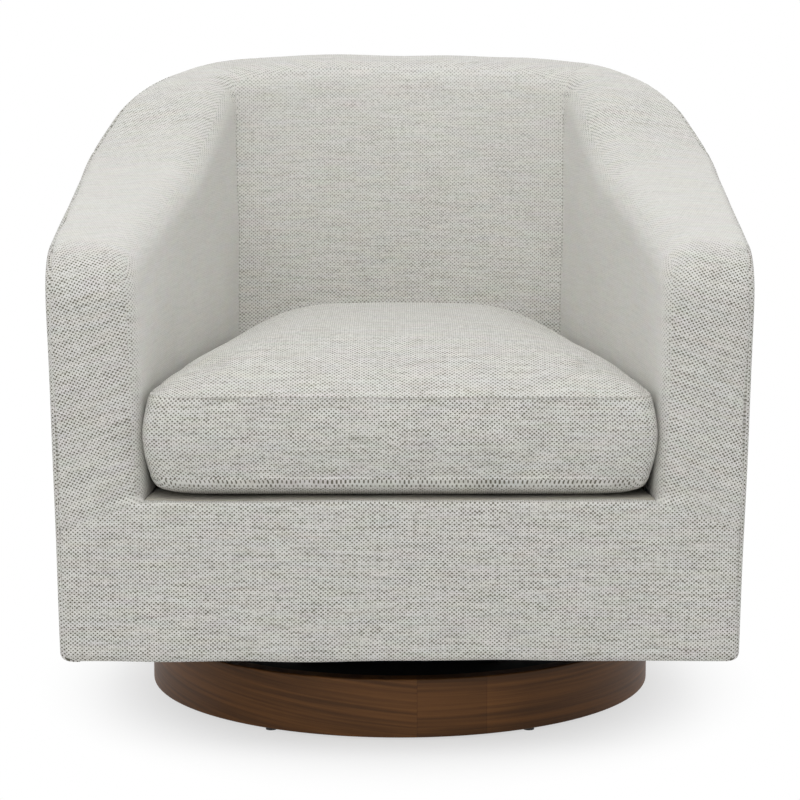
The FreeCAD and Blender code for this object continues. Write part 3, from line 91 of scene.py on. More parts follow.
def backdropMix(tree, lit, strength):
    # rays from the camera, and those seen in gloss or glass, meet plain white
    path = tree.nodes.new("ShaderNodeLightPath")
    seen = calc(tree, "MAXIMUM", path.outputs["Is Camera Ray"], path.outputs["Is Glossy Ray"])
    seen = calc(tree, "MAXIMUM", seen, path.outputs["Is Transmission Ray"])
    white = tree.nodes.new("ShaderNodeBackground" if lit.node.type == "BACKGROUND" else "ShaderNodeEmission")
    white.inputs["Color"].default_value = (*stage["white"], 1)
    mix = tree.nodes.new("ShaderNodeMixShader")
    tree.links.new(times(tree, seen, strength), mix.inputs[0])
    tree.links.new(lit, mix.inputs[1])
    tree.links.new(white.outputs[0], mix.inputs[2])
    return mix.outputs[0]


def makeStage():
    half = stage["floor"] / 2
    corners = [(-half, -half, 0), (half, -half, 0), (half, half, 0), (-half, half, 0)]
    floor = addMesh("floor", corners, [(0, 1, 2, 3)])
    material, tree, shader = newMaterial("floorPaint")
    tree.nodes.remove(shader)
    paint = tree.nodes.new("ShaderNodeBsdfDiffuse")
    paint.inputs["Color"].default_value = (*stage["paint"], 1)
    output = tree.nodes["Material Output"]
    x, y, _ = splitXyz(tree, addNode(tree, "ShaderNodeTexCoord", 3))
    x, y = calc(tree, "DIVIDE", x, stage["shadowX"]), calc(tree, "DIVIDE", y, stage["shadowY"])
    away = calc(tree, "SQRT", calc(tree, "ADD", times(tree, x, x), times(tree, y, y)))
    # the shadow stays round the ring
    glow = ranged(tree, away, stage["fadeStart"], 1.0, stage["glow"], 1.0)
    tree.links.new(backdropMix(tree, paint.outputs[0], glow), output.inputs["Surface"])
    floor.data.materials.append(material)

    world = bpy.data.worlds.new("studio")
    world.use_nodes = True
    scene.world = world
    tree = world.node_tree
    sky = tree.nodes["Background"]
    sky.inputs["Color"].default_value = (1, 1, 1, 1)
    sky.inputs["Strength"].default_value = skyStrength
    tree.links.new(backdropMix(tree, sky.outputs[0], 1.0), tree.nodes["World Output"].inputs["Surface"])


def makeLamps():
    for name, p in lamps.items():
        data = bpy.data.lights.new(name + "Lamp", "AREA")
        data.size = p["size"]
        data.energy = p["power"]
        aimed(addObject(name + "Lamp", data), p["place"], p["aim"])


# Short ways to write node trees and meshes
def feed(tree, socket, value):
    if isinstance(value, bpy.types.NodeSocket):
        tree.links.new(value, socket)
    elif value is not None:
        socket.default_value = value


def calc(tree, operation, *values, clamp=False):
    node = tree.nodes.new("ShaderNodeMath")
    node.operation = operation
    node.use_clamp = clamp
    for socket, value in zip(node.inputs, values):
        feed(tree, socket, value)
    return node.outputs[0]


def times(tree, first, second, clamp=False):
    return calc(tree, "MULTIPLY", first, second, clamp=clamp)


def addNode(tree, kind, output=0, settings=None, **inputs):
    node = tree.nodes.new(kind)
    for name, value in (settings or {}).items():
        setattr(node, name, value)
    for name, value in inputs.items():
        feed(tree, node.inputs[name.replace("_", " ")], value)
    return node.outputs[output]


def noise(tree, vector, scale, detail=2.0, output="Fac", **inputs):
    return addNode(tree, "ShaderNodeTexNoise", output, Vector=vector, Scale=scale, Detail=detail, **inputs)


def joinXyz(tree, x, y, z=0.0):
    return addNode(tree, "ShaderNodeCombineXYZ", X=x, Y=y, Z=z)


def stretch(tree, x, y, sizeX, sizeY, z=0.0):
    return joinXyz(tree, times(tree, x, sizeX), times(tree, y, sizeY), z)


def splitXyz(tree, vector):
    return addNode(tree, "ShaderNodeSeparateXYZ", 0, Vector=vector).node.outputs


def mixColour(tree, share, first, second, blend="MIX"):
    node = tree.nodes.new("ShaderNodeMix")
    node.data_type = "RGBA"
    node.blend_type = blend
    feed(tree, node.inputs[0], share)
    feed(tree, node.inputs[6], first)
    feed(tree, node.inputs[7], second)
    return node.outputs[2]


def ranged(tree, value, low, high, toLow=0.0, toHigh=1.0, kind="SMOOTHSTEP"):
    node = tree.nodes.new("ShaderNodeMapRange")
    node.interpolation_type = kind
    for socket, item in zip(node.inputs, (value, low, high, toLow, toHigh)):
        feed(tree, socket, item)
    return node.outputs[0]


def colour(red, green, blue):
    # a colour as a screen shows it, 0 to 255, in the shader's own scale
    parts = [c / 255 for c in (red, green, blue)]
    return tuple(c / 12.92 if c <= 0.04045 else ((c + 0.055) / 1.055) ** 2.4 for c in parts) + (1.0,)


def newGroup(name, inputs, outputs):
    tree = bpy.data.node_groups.new(name, "ShaderNodeTree")
    for label, kind, value in inputs:
        socket = tree.interface.new_socket(name=label, in_out="INPUT", socket_type="NodeSocket" + kind)
        if value is not None:
            socket.default_value = value
    for label, kind in outputs:
        tree.interface.new_socket(name=label, in_out="OUTPUT", socket_type="NodeSocket" + kind)
    return tree, tree.nodes.new("NodeGroupInput").outputs, tree.nodes.new("NodeGroupOutput").inputs


def placeGroup(tree, group, **values):
    node = tree.nodes.new("ShaderNodeGroup")
    node.node_tree = group
    for name, value in values.items():
        feed(tree, node.inputs[name], value)
    return node.outputs


def newMaterial(name):
    material = bpy.data.materials.new(name)
    material.use_nodes = True
    return material, material.node_tree, material.node_tree.nodes["Principled BSDF"]


def addBump(tree, shader, height, strength, distance):
    bump = tree.nodes.new("ShaderNodeBump")
    bump.inputs["Strength"].default_value = strength
    bump.inputs["Distance"].default_value = distance
    tree.links.new(height, bump.inputs["Height"])
    tree.links.new(bump.outputs[0], shader.inputs["Normal"])


def addMesh(name, vertices, faces, uvs=None):
    mesh = bpy.data.meshes.new(name)
    mesh.from_pydata([tuple(v) for v in vertices], [], faces)
    if uvs is not None:
        paintUvs(mesh, np.asarray(uvs, float)[loopVertices(mesh)])
    mesh.shade_smooth()
    return addObject(name, mesh)


def loopVertices(mesh):
    found = np.zeros(len(mesh.loops), int)
    mesh.loops.foreach_get("vertex_index", found)
    return found


def paintUvs(mesh, perLoop):
    layer = mesh.uv_layers.get("weave") or mesh.uv_layers.new(name="weave")
    layer.data.foreach_set("uv", np.asarray(perLoop, np.float32).ravel())


def paintOpen(found, values):
    # how plainly the dark gaps of the weave show at each vertex, from 0 to 1; where it is lowered on tops and
    # inner walls, that is painted light
    layer = found.data.attributes.get("open") or found.data.attributes.new("open", "FLOAT", "POINT")
    values = np.asarray(values, np.float32)
    layer.data.foreach_set("value", np.broadcast_to(values, len(found.data.vertices)))


def points(mesh, what="co"):
    found = np.zeros(len(mesh.vertices) * 3)
    mesh.vertices.foreach_get(what, found)
    return found.reshape(-1, 3)


def applied(found):
    # the object's modifiers become its mesh
    graph = bpy.context.evaluated_depsgraph_get()
    mesh = bpy.data.meshes.new_from_object(found.evaluated_get(graph), depsgraph=graph)
    old = found.data
    found.modifiers.clear()
    found.data = mesh
    bpy.data.meshes.remove(old)
    mesh.shade_smooth()
    return found


def settle(found, body, slot, material, *replaced):
    # a finished piece gets its material and its place in the frame
    found.data.materials.clear()
    found.data.materials.append(material)
    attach(found, body)
    if replaced:
        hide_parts(*replaced)
    return found


# Woven cloth: light yarn with dark gaps set like a chequerboard, and uneven heathered picks
weave = {
    "warp": 0.00508, "weft": 0.00445, "yarn": (222, 221, 216), "shade": (190, 188, 181), "gap": (86, 82, 66),
    "wander": 0.0006, "heather": 0.09, "roughness": 0.92, "sheen": 0.12, "bump": 0.4, "relief": 0.0006,
    # how often each unevenness changes in a metre, across and up the cloth
    "uneven": (150.0, 240.0), "rows": (16.0, 205.0), "picks": (26.0, 430.0), "ends": (400.0, 20.0),
    "tints": (24.0, 90.0), "drift": 45.0, "fuzz": 1500.0,
    # where the gaps begin, by the unevenness and by the row, how softly, and how much of them shows
    "gapStart": (-0.12, 0.42), "rowStart": (-0.18, 0.22), "gapSoft": 0.5, "gapShare": 0.92, "slub": 0.6,
}


def makeWeaveGroup():
    tree, given, out = newGroup(
        "wovenYarn",
        [("Vector", "Vector", None), ("Warp", "Float", 0.005), ("Weft", "Float", 0.0045),
         ("Wander", "Float", 0.0007), ("Heather", "Float", 0.05), ("Open", "Float", 1.0),
         ("Yarn", "Color", None), ("Shade", "Color", None), ("Gap", "Color", None)],
        [("Color", "Color"), ("Height", "Float")],
    )
    flat = given["Vector"]
    drift = addNode(tree, "ShaderNodeVectorMath", 0, {"operation": "SUBTRACT"}).node
    tree.links.new(noise(tree, flat, weave["drift"], 2.0, "Color"), drift.inputs[0])
    drift.inputs[1].default_value = (0.5, 0.5, 0.5)
    scaled = tree.nodes.new("ShaderNodeVectorMath")
    scaled.operation = "SCALE"
    tree.links.new(drift.outputs[0], scaled.inputs[0])
    tree.links.new(times(tree, given["Wander"], 2.0), scaled.inputs["Scale"])
    moved = tree.nodes.new("ShaderNodeVectorMath")
    tree.links.new(flat, moved.inputs[0])
    tree.links.new(scaled.outputs[0], moved.inputs[1])
    x, y, _ = splitXyz(tree, moved.outputs[0])

    across = calc(tree, "COSINE", calc(tree, "DIVIDE", times(tree, x, turn), given["Warp"]))
    along = calc(tree, "COSINE", calc(tree, "DIVIDE", times(tree, y, turn), given["Weft"]))
    lattice = times(tree, across, along)
    uneven = noise(tree, stretch(tree, x, y, *weave["uneven"]), 1.0, 1.0)
    rows = noise(tree, stretch(tree, x, y, *weave["rows"], 2.0), 1.0, 2.0)
    start = calc(tree, "ADD", ranged(tree, uneven, 0.3, 0.7, *weave["gapStart"], "LINEAR"),
                 ranged(tree, rows, 0.3, 0.7, *weave["rowStart"], "LINEAR"))
    gaps = ranged(tree, lattice, start, calc(tree, "ADD", start, weave["gapSoft"]))

    picks = noise(tree, stretch(tree, x, y, *weave["picks"]), 1.0, 3.0)
    ends = noise(tree, stretch(tree, x, y, *weave["ends"], 4.0), 1.0, 2.0)
    slub = calc(tree, "ADD", ranged(tree, picks, 0.35, 0.75), times(tree, ranged(tree, ends, 0.4, 0.8), 0.5))
    slub = times(tree, slub, weave["slub"], clamp=True)
    # where Open is low, on tops and inner walls, the darker slubs and the dark gaps thin out: painted light
    ground = mixColour(tree, times(tree, slub, given["Open"]), given["Yarn"], given["Shade"])
    tints = noise(tree, stretch(tree, x, y, *weave["tints"], 9.0), 1.0, 2.0, "Color")
    ground = mixColour(tree, given["Heather"], ground, mixColour(tree, 1.0, ground, tints, "OVERLAY"))
    shown = times(tree, gaps, times(tree, given["Open"], weave["gapShare"]))
    tree.links.new(mixColour(tree, shown, ground, given["Gap"]), out["Color"])

    round = times(tree, calc(tree, "SUBTRACT", 1.0, gaps), 0.7)
    fuzz = times(tree, noise(tree, flat, weave["fuzz"], 2.0), 0.3)
    tree.links.new(calc(tree, "ADD", round, fuzz), out["Height"])
    return tree


def makeCloth(name, p, group, **changes):
    p = {**p, **changes}
    material, tree, shader = newMaterial(name)
    uv = addNode(tree, "ShaderNodeUVMap", 0, {"uv_map": "weave"})
    # how plainly the gaps show, lowered by facing and height as painted light
    shown = addNode(tree, "ShaderNodeAttribute", 2, {"attribute_name": "open"})
    made = placeGroup(tree, group, Vector=uv, Warp=p["warp"], Weft=p["weft"], Wander=p["wander"],
                      Heather=p["heather"], Open=shown, Yarn=colour(*p["yarn"]),
                      Shade=colour(*p["shade"]), Gap=colour(*p["gap"]))
    tree.links.new(made["Color"], shader.inputs["Base Color"])
    shader.inputs["Roughness"].default_value = p["roughness"]
    shader.inputs["Specular IOR Level"].default_value = 0.2
    shader.inputs["Sheen Weight"].default_value = p["sheen"]
    shader.inputs["Sheen Roughness"].default_value = 0.6
    addBump(tree, shader, made["Height"], p["bump"], p["relief"])
    return material


def addBuilt(name, built):
    mesh = bpy.data.meshes.new(name)
    built.to_mesh(mesh)
    built.free()
    return addObject(name, mesh)


def thickened(found, thickness, offset=-1):
    solid = found.modifiers.new("thickness", "SOLIDIFY")
    solid.thickness = thickness
    solid.offset = offset
    return applied(found)


# The body's form: its side profile, its walls and its edges
shell = {
    "front": -0.393, "bottom": 0.113, "deck": 0.297, "top": 0.7815,
    "lowHalf": 0.3845, "lean": 0.0229, "barrelY": -0.006,
    "nose": 0.072, "armSlope": 10.7, "armY": -0.0413, "armZ": 0.643,
    "hollow": 0.475, "shoulderSlope": 32.0,
    "outerEdge": 0.016, "bottomEdge": 0.008, "seamDrop": 0.0045, "seamY": 0.060, "hem": 0.017,
    "cloth": 0.0018, "gapLow": 0.286, "seamFall": 0.035,
    "cornerLow": 0.212, "cornerLean": 0.016, "cornerY": 0.180, "cornerBack": 0.110,
}


def sideProfile(drop=0.0, step=0.004):
    # the body's top and front line seen from its side, lowered by drop, from the front's foot to behind
    a, b = math.radians(shell["armSlope"]), math.radians(shell["shoulderSlope"])
    front, r = shell["front"], shell["nose"]
    y1, z1, hollow = shell["armY"], shell["armZ"], shell["hollow"]
    noseY = front + r
    noseZ = z1 + math.tan(a) * (noseY - y1) - r / math.cos(a)
    y2 = y1 + hollow * (math.sin(b) - math.sin(a))
    z2 = z1 + hollow * (math.cos(a) - math.cos(b))
    crown = (shell["top"] - z2) / (1 - math.cos(b))

    def arc(centreY, centreZ, radius, first, last):
        count = max(2, int(abs(last - first) * radius / step))
        angles = np.linspace(first, last, count)
        return np.stack([centreY + radius * np.cos(angles), centreZ + radius * np.sin(angles)], 1)

    lines = [
        np.array([(front + drop, z) for z in np.arange(shell["bottom"], noseZ, step * 2)]),
        arc(noseY, noseZ, r - drop, math.pi, math.pi / 2 + a),
        arc(y1 - hollow * math.sin(a), z1 + hollow * math.cos(a), hollow + drop,
            a - math.pi / 2, b - math.pi / 2),
        arc(y2 + crown * math.sin(b), z2 - crown * math.cos(b), crown - drop, math.pi / 2 + b, math.pi / 2),
        np.array([(0.5, shell["top"] - drop)]),
    ]
    return np.concatenate(lines), noseY, noseZ


profile, noseY, noseZ = sideProfile()
profileRun = np.concatenate([[0], np.cumsum(np.hypot(*np.diff(profile, axis=0).T))])


def heightAt(y, drop=0.0):
    line = sideProfile(drop)[0]
    line = line[line[:, 1] >= noseZ - 1e-6] if drop else line[np.argmax(line[:, 1] >= noseZ - 1e-6):]
    return np.interp(y, line[:, 0], line[:, 1])


def nearestOnProfile(y, z):
    # distance to the side profile, and how far along it the nearest point is
    flat = np.stack([np.ravel(y), np.ravel(z)], 1)
    start, end = profile[:-1], profile[1:]
    way = end - start
    length = (way ** 2).sum(1)
    depth, run = np.empty(len(flat)), np.empty(len(flat))
    for first in range(0, len(flat), 4000):
        part = flat[first:first + 4000, None]
        share = np.clip(((part - start) * way).sum(2) / length, 0, 1)
        gap = np.linalg.norm(part - start - share[..., None] * way, axis=2)
        best = gap.argmin(1)
        row = np.arange(len(best))
        depth[first:first + 4000] = gap[row, best]
        run[first:first + 4000] = profileRun[best] + share[row, best] * np.sqrt(length[best])
    return depth.reshape(np.shape(y)), run.reshape(np.shape(y))


def halfWidth(z):
    return shell["lowHalf"] + shell["lean"] * (z - shell["bottom"])


def edgeInset(depth, radius, corner=math.pi / 2):
    # how far a round edge stands back from the wall, at a depth below the top
    fallen = np.arccos(np.clip(1 - depth / radius, -1, 1))
    return np.where(fallen < corner, radius * (1 - np.cos(corner - fallen)), 0.0)


outerSeams = {}


# Outer covers: cloth stretched over the boards of the arms and round the back
outerCover = {
    "noseSteps": 14, "armStep": 0.008, "armLength": 0.4, "backSteps": 150, "backRun": 1.2,
    "topRows": (0, .0012, .003, .005, .0075, .0105, .014, .018),
    "wallRows": 52, "footRows": 5, "hemRows": 3, "tuck": 0.0015, "tuckWidth": 0.0022, "ripple": 0.0009,
    "rippleSize": 0.22, "calm": 0.3, "probe": 0.002, "rowStretch": 1.25,
}


def ripples(where, seed, waves, size):
    # a calm uneven surface: a few long waves in fixed directions
    draw = np.random.default_rng(seed)
    total = np.zeros(len(where))
    for _ in range(waves):
        way = draw.normal(size=3)
        way *= turn / (size * draw.uniform(0.6, 1.6)) / np.linalg.norm(way)
        total += np.sin(where @ way + draw.uniform(0, turn))
    return total / math.sqrt(waves)


def outerShell(name, part, p=outerCover):
    s = shell
    drop, edge, foot = s["seamDrop"], s["outerEdge"], s["bottomEdge"]
    if part == "back":
        columns = np.linspace(0, 1, p["backSteps"])
    else:
        swing = np.linspace(0, math.pi / 2 - math.radians(s["armSlope"]), p["noseSteps"])
        nose = s["front"] + drop + (s["nose"] - drop) * (1 - np.cos(swing))
        count = int(p["armLength"] / p["armStep"])
        columns = np.concatenate([nose, np.linspace(nose[-1], s["seamY"], count)[1:]])
    rows = len(p["topRows"]) + p["wallRows"] + p["footRows"] + p["hemRows"]
    grid = np.zeros((len(columns), rows, 3))
    uvs = np.zeros((len(columns), rows, 2))
    sideSign = -1 if part == "left" else 1

    def angleAt(column, z):
        wide = halfWidth(z)
        if part == "back":
            low = np.arcsin((s["seamY"] - s["barrelY"]) / wide)
            return low + column * (math.pi - 2 * low), wide
        return np.arcsin(np.clip((column - s["barrelY"]) / wide, 0, 1)), wide

    for i, column in enumerate(columns):
        angle, wide = angleAt(column, s["top"])
        y = s["barrelY"] + wide * math.sin(angle) if part == "back" else column
        high = float(heightAt(np.array(y)))
        rise = float(heightAt(np.array(y + p["probe"]))) - high
        slope = math.atan(rise / p["probe"]) if y > noseY else 0.0
        lean = math.sin(angle) * math.sin(slope)
        corner = math.acos(-lean)
        if part == "back":
            depth = drop + np.array(p["topRows"]) * p["rowStretch"]
            topZ = high - (depth + edgeInset(depth, edge, corner) * lean) / math.cos(slope)
        else:
            topZ = float(heightAt(np.array(y), drop)) - np.array(p["topRows"])
        wallZ = np.linspace(topZ[-1], s["bottom"] + foot, p["wallRows"] + 1)[1:]
        dip = np.linspace(0, math.pi / 2, p["footRows"] + 1)[1:]
        footZ = s["bottom"] + foot * (1 - np.sin(dip))
        z = np.concatenate([topZ, wallZ, footZ, [s["bottom"]] * p["hemRows"]])
        under = np.zeros(rows)
        under[-p["footRows"] - p["hemRows"]:-p["hemRows"]] = foot * (1 - np.cos(dip))
        under[-p["hemRows"]:] = foot + (s["hem"] - foot) * np.arange(1, p["hemRows"] + 1) / p["hemRows"]
        if part == "back":
            below = [1.0] * (rows - len(depth) - len(wallZ))
            depth = np.concatenate([depth, (high - wallZ) * math.cos(slope), below])
            seam = np.minimum(depth - drop, np.minimum(column, 1 - column) * p["backRun"])
        else:
            depth = nearestOnProfile(np.full(rows, y), z)[0]
            seam = np.minimum(np.maximum(depth - drop, 0), s["seamY"] - y)
        inset = edgeInset(depth, edge, corner) + under + p["tuck"] * np.exp(-(seam / p["tuckWidth"]) ** 2)
        angles, wides = angleAt(column, z)
        centre = s["barrelY"] if part == "back" or y > s["barrelY"] else y
        out = wides - inset
        grid[i, :, 0] = sideSign * out * np.cos(angles)
        grid[i, :, 1] = centre + out * np.sin(angles)
        if part != "back" and y > s["barrelY"]:
            grid[i, :, 1] = y - inset * np.sin(angles)
        grid[i, :, 2] = z
        run = columns[i] * p["backRun"] if part == "back" else y
        uvs[i] = np.stack([np.full(rows, run), z + under], 1)
    flat = grid.reshape(-1, 3)
    number = np.arange(len(flat)).reshape(len(columns), rows)
    quads = np.stack([number[:-1, :-1], number[1:, :-1], number[1:, 1:], number[:-1, 1:]], -1).reshape(-1, 4)
    if sideSign > 0:
        quads = quads[:, ::-1]
    found = addMesh(name, flat, quads.tolist(), uvs.reshape(-1, 2))
    normals = points(found.data, "normal")
    calm = np.clip((shell["top"] - flat[:, 2]) / p["calm"], 0, 1)
    waves = ripples(flat, seed=11, waves=7, size=p["rippleSize"])
    moved = flat - normals * (p["ripple"] * (1 + waves) / 2 * calm)[:, None]
    found.data.vertices.foreach_set("co", moved.ravel())
    paintOpen(found, 1.0)
    found["area"] = sum(face.area for face in found.data.polygons)
    edgeLine = grid[0, ::-1]
    outerSeams[part] = edgeLine[(edgeLine[:, 2] > s["bottom"] + foot) & (edgeLine[:, 2] < noseZ)]
    return thickened(found, s["cloth"])


# Padded covers: inside of the arms and back, front and deck, each with its foam
padded = {
    "voxel": 0.0038, "smoothing": 5, "ripple": 0.0011, "rippleSize": 0.16,
    "frontTurn": 17.0, "flatFront": 0.004, "wallTurn": 0.72,
    "cornerCrease": 0.0024, "mitreCrease": 0.0012, "creaseWidth": 0.0032, "fadeLow": 0.60, "fadeHigh": 0.71,
    "cornerTurn": 0.2, "cornerFrom": 0.1, "fadeLeast": 0.15, "mitreTo": -0.36, "mitreRoom": 0.01,
    "footRoom": 0.006, "railTop": 0.1, "aheadFrom": 0.25, "aboveFrom": 0.2, "turnSpan": 0.5,
    # fewer dark gaps on the inner walls, the tops and up the back is painted light
    "wallOpenPaintedLight": 0.28, "backLowOpenPaintedLight": 0.80, "backTopOpenPaintedLight": 0.58, "topOpenPaintedLight": 0.40, "backFadePaintedLight": (0.45, 0.72),
}


def paddedFrom(name, sources, p=padded):
    joined = bmesh.new()
    for source in sources:
        joined.from_mesh(nodes[source].data)
    bmesh.ops.remove_doubles(joined, verts=joined.verts, dist=1e-5)
    found = addBuilt(name, joined)
    remesh = found.modifiers.new("cells", "REMESH")
    remesh.mode = "VOXEL"
    remesh.voxel_size = p["voxel"]
    smooth = found.modifiers.new("soft", "SMOOTH")
    smooth.factor = 0.5
    smooth.iterations = p["smoothing"]
    applied(found)
    co, normals = points(found.data), points(found.data, "normal")
    lift = p["ripple"] * ripples(co, seed=9, waves=9, size=p["rippleSize"])
    found.data.vertices.foreach_set("co", (co + normals * lift[:, None]).ravel())
    return found


def seamPlanes():
    # point and normal of the seams beside the back, towards it, and of the mitre seams, towards the arms
    s, planes = shell, {}
    for side, sign in (("left", -1), ("right", 1)):
        corner = Vector((sign * s["cornerLow"], s["cornerY"], s["deck"]))
        rise = Vector((sign * s["cornerLean"], s["cornerBack"], 1))
        normal = rise.cross(Vector((sign, 1, 0))).normalized()
        planes["corner", side] = corner, normal * (1 if normal.y > 0 else -1)
        start = Vector((sign * s["gapLow"], 0, s["deck"]))
        fall = Vector((sign * (s["lowHalf"] - s["gapLow"]), 0, -s["seamFall"]))
        normal = fall.cross(Vector((0, 1, 0))).normalized()
        planes["mitre", side] = start, normal * (1 if normal.z > 0 else -1)
    return planes


def crease(found, planes, p=padded):
    # the padding is drawn in along its seams, less and less towards the top of the corner seams
    co, normals = points(found.data), points(found.data, "normal")
    moved = co.copy()
    for (kind, side), (place, normal) in planes.items():
        gap = (co - np.array(place)) @ np.array(normal)
        ours = (co[:, 0] < 0) == (side == "left")
        if kind == "corner":
            ours &= (normals[:, 1] < p["cornerTurn"]) & (co[:, 1] > p["cornerFrom"])
            fade = np.interp(co[:, 2], (p["fadeLow"], p["fadeHigh"]), (1, p["fadeLeast"]))
            depth = p["cornerCrease"] * fade
        else:
            ours &= (co[:, 1] < p["mitreTo"]) & (np.abs(co[:, 0]) > shell["gapLow"] - p["mitreRoom"])
            depth = np.full(len(co), p["mitreCrease"])
        snapped = ours & (np.abs(gap) < p["voxel"] * 0.5)
        moved[snapped] -= gap[snapped, None] * np.array(normal)
        gap[snapped] = 0
        moved -= normals * (ours * depth * np.exp(-(gap / p["creaseWidth"]) ** 2))[:, None]
    found.data.vertices.foreach_set("co", moved.ravel())
    found.data.update()


def partOf(whole, name, cuts):
    # the closed part of a pad on the inner side of every plane
    part = bmesh.new()
    part.from_mesh(whole.data)
    for place, normal in cuts:
        everything = part.verts[:] + part.edges[:] + part.faces[:]
        bmesh.ops.bisect_plane(
            part, geom=everything, dist=1e-5, plane_co=place, plane_no=normal, clear_inner=True)
        rim = [edge for edge in part.edges if edge.is_boundary]
        for edge in rim:
            edge.smooth = False
        bmesh.ops.holes_fill(part, edges=rim, sides=0)
    return addBuilt(name, part)


def faceNormals(mesh):
    found = np.zeros(len(mesh.polygons) * 3)
    mesh.polygons.foreach_get("normal", found)
    return found.reshape(-1, 3)


def paintWeave(found, part, p=padded):
    # the weave follows each wall, and wraps with the cloth over the top and down the front
    mesh = found.data
    co, normal = points(mesh), faceNormals(mesh)
    sizes = np.zeros(len(mesh.polygons), int)
    mesh.polygons.foreach_get("loop_total", sizes)
    loops = loopVertices(mesh)
    normal = np.repeat(normal, sizes, axis=0)
    x, y, z = co.T
    behind = np.maximum(y - shell["front"] - p["flatFront"], 0)      # none on the flat of the front
    run = nearestOnProfile(y, z)[1] - np.where(z < shell["bottom"] + p["footRoom"], behind, 0)
    tilt = math.radians({"left": p["frontTurn"], "right": -p["frontTurn"]}.get(part, 0))
    cosine, sine = math.cos(tilt), math.sin(tilt)
    wrap = np.stack([x * cosine + run * sine, run * cosine - x * sine], 1)
    wall = np.stack([x if part == "back" else y, z], 1)
    if part == "deck":
        wrap = co[:, :2]
    if part == "front":
        wrap = np.stack([x, z + np.where(z > shell["deck"] - p["railTop"], behind, -behind)], 1)
    onWall = np.abs(normal[:, 1 if part == "back" else 0]) > p["wallTurn"]
    if part in ("front", "deck"):
        onWall[:] = False
    paintUvs(mesh, np.where(onWall[:, None], wall[loops], wrap[loops]))
    facing = points(mesh, "normal")
    # gaps show fully on faces turned ahead, fewer on inner walls, tops and up the back: painted light by
    # facing and height
    if part in ("left", "right"):
        ahead = np.clip((-facing[:, 1] - p["aheadFrom"]) / p["turnSpan"], 0, 1)
        above = np.clip((facing[:, 2] - p["aboveFrom"]) / p["turnSpan"], 0, 1)
        level = p["wallOpenPaintedLight"] + (p["topOpenPaintedLight"] - p["wallOpenPaintedLight"]) * above
        paintOpen(found, level + (1 - level) * ahead)
    elif part == "back":
        paintOpen(found, np.interp(z, p["backFadePaintedLight"], (p["backLowOpenPaintedLight"], p["backTopOpenPaintedLight"])))
    else:
        paintOpen(found, 1.0)


# The loose seat cushion: a crowned top and a flat underside round a boxed band
cushion = {
    "half": 0.2855, "front": -0.3835, "cornerX": 0.207, "cornerY": 0.163, "bow": 0.050, "sideBow": 0.006,
    "middle": -0.10, "rounding": 12, "rings": 30, "bandRows": 12,
    "low": 0.2985, "seamLow": 0.3225, "seamHigh": 0.4140, "crown": 0.0500, "crownPower": 3.8,
    "bulge": 0.0045, "cornerBulge": 0.0075, "cornerReach": 0.042, "roll": 0.10,
    "pressure": 4.0, "cap": 0.012, "slack": 0.018, "mass": 0.3, "stiffness": 18, "bending": 0.6, "frames": 20,
    "ridge": 0.0016, "groove": 0.0007,
    # fewer dark gaps on the top, blended in just above the seam, is painted light
    "topOpenPaintedLight": 0.85, "paintedLightLow": 0.004, "paintedLightHigh": 0.012, "stitchDrop": 0.0022, "stitchOut": 0.0006,
    # finer rings and rows of points beside the seams
    "seamRings": (0.022, 0.007), "firstRows": (0, 0.015, 0.045), "lastRows": (0.955, 0.985, 1),
}


def cushionOutline(p):
    # an even loop of points, 2 rings' worth to each side, from the middle of the front anticlockwise
    n = p["rings"]
    share = np.linspace(0, 1, 2 * n + 1)[:-1]
    half, front, x, y = p["half"], p["front"], p["cornerX"], p["cornerY"]
    sideX = half + (x - half) * share + p["sideBow"] * 4 * share * (1 - share)
    side = np.stack([sideX, front + (y - front) * share], 1)
    across = np.linspace(x, -x, 2 * n + 1)[:-1]
    rear = np.stack([across, y + p["bow"] * (1 - (across / x) ** 2)], 1)
    other = side[::-1] * (-1, 1)
    other = np.concatenate([[(-x, y)], other[:-1]])
    ahead = np.stack([np.linspace(-half, half, 2 * n + 1)[:-1], np.full(2 * n, front)], 1)
    loop = np.concatenate([ahead[n:], side, rear, other, ahead[:n]])
    for _ in range(p["rounding"]):
        loop = (np.roll(loop, 1, 0) + 2 * loop + np.roll(loop, -1, 0)) / 4
    return loop


cushionSeam = []


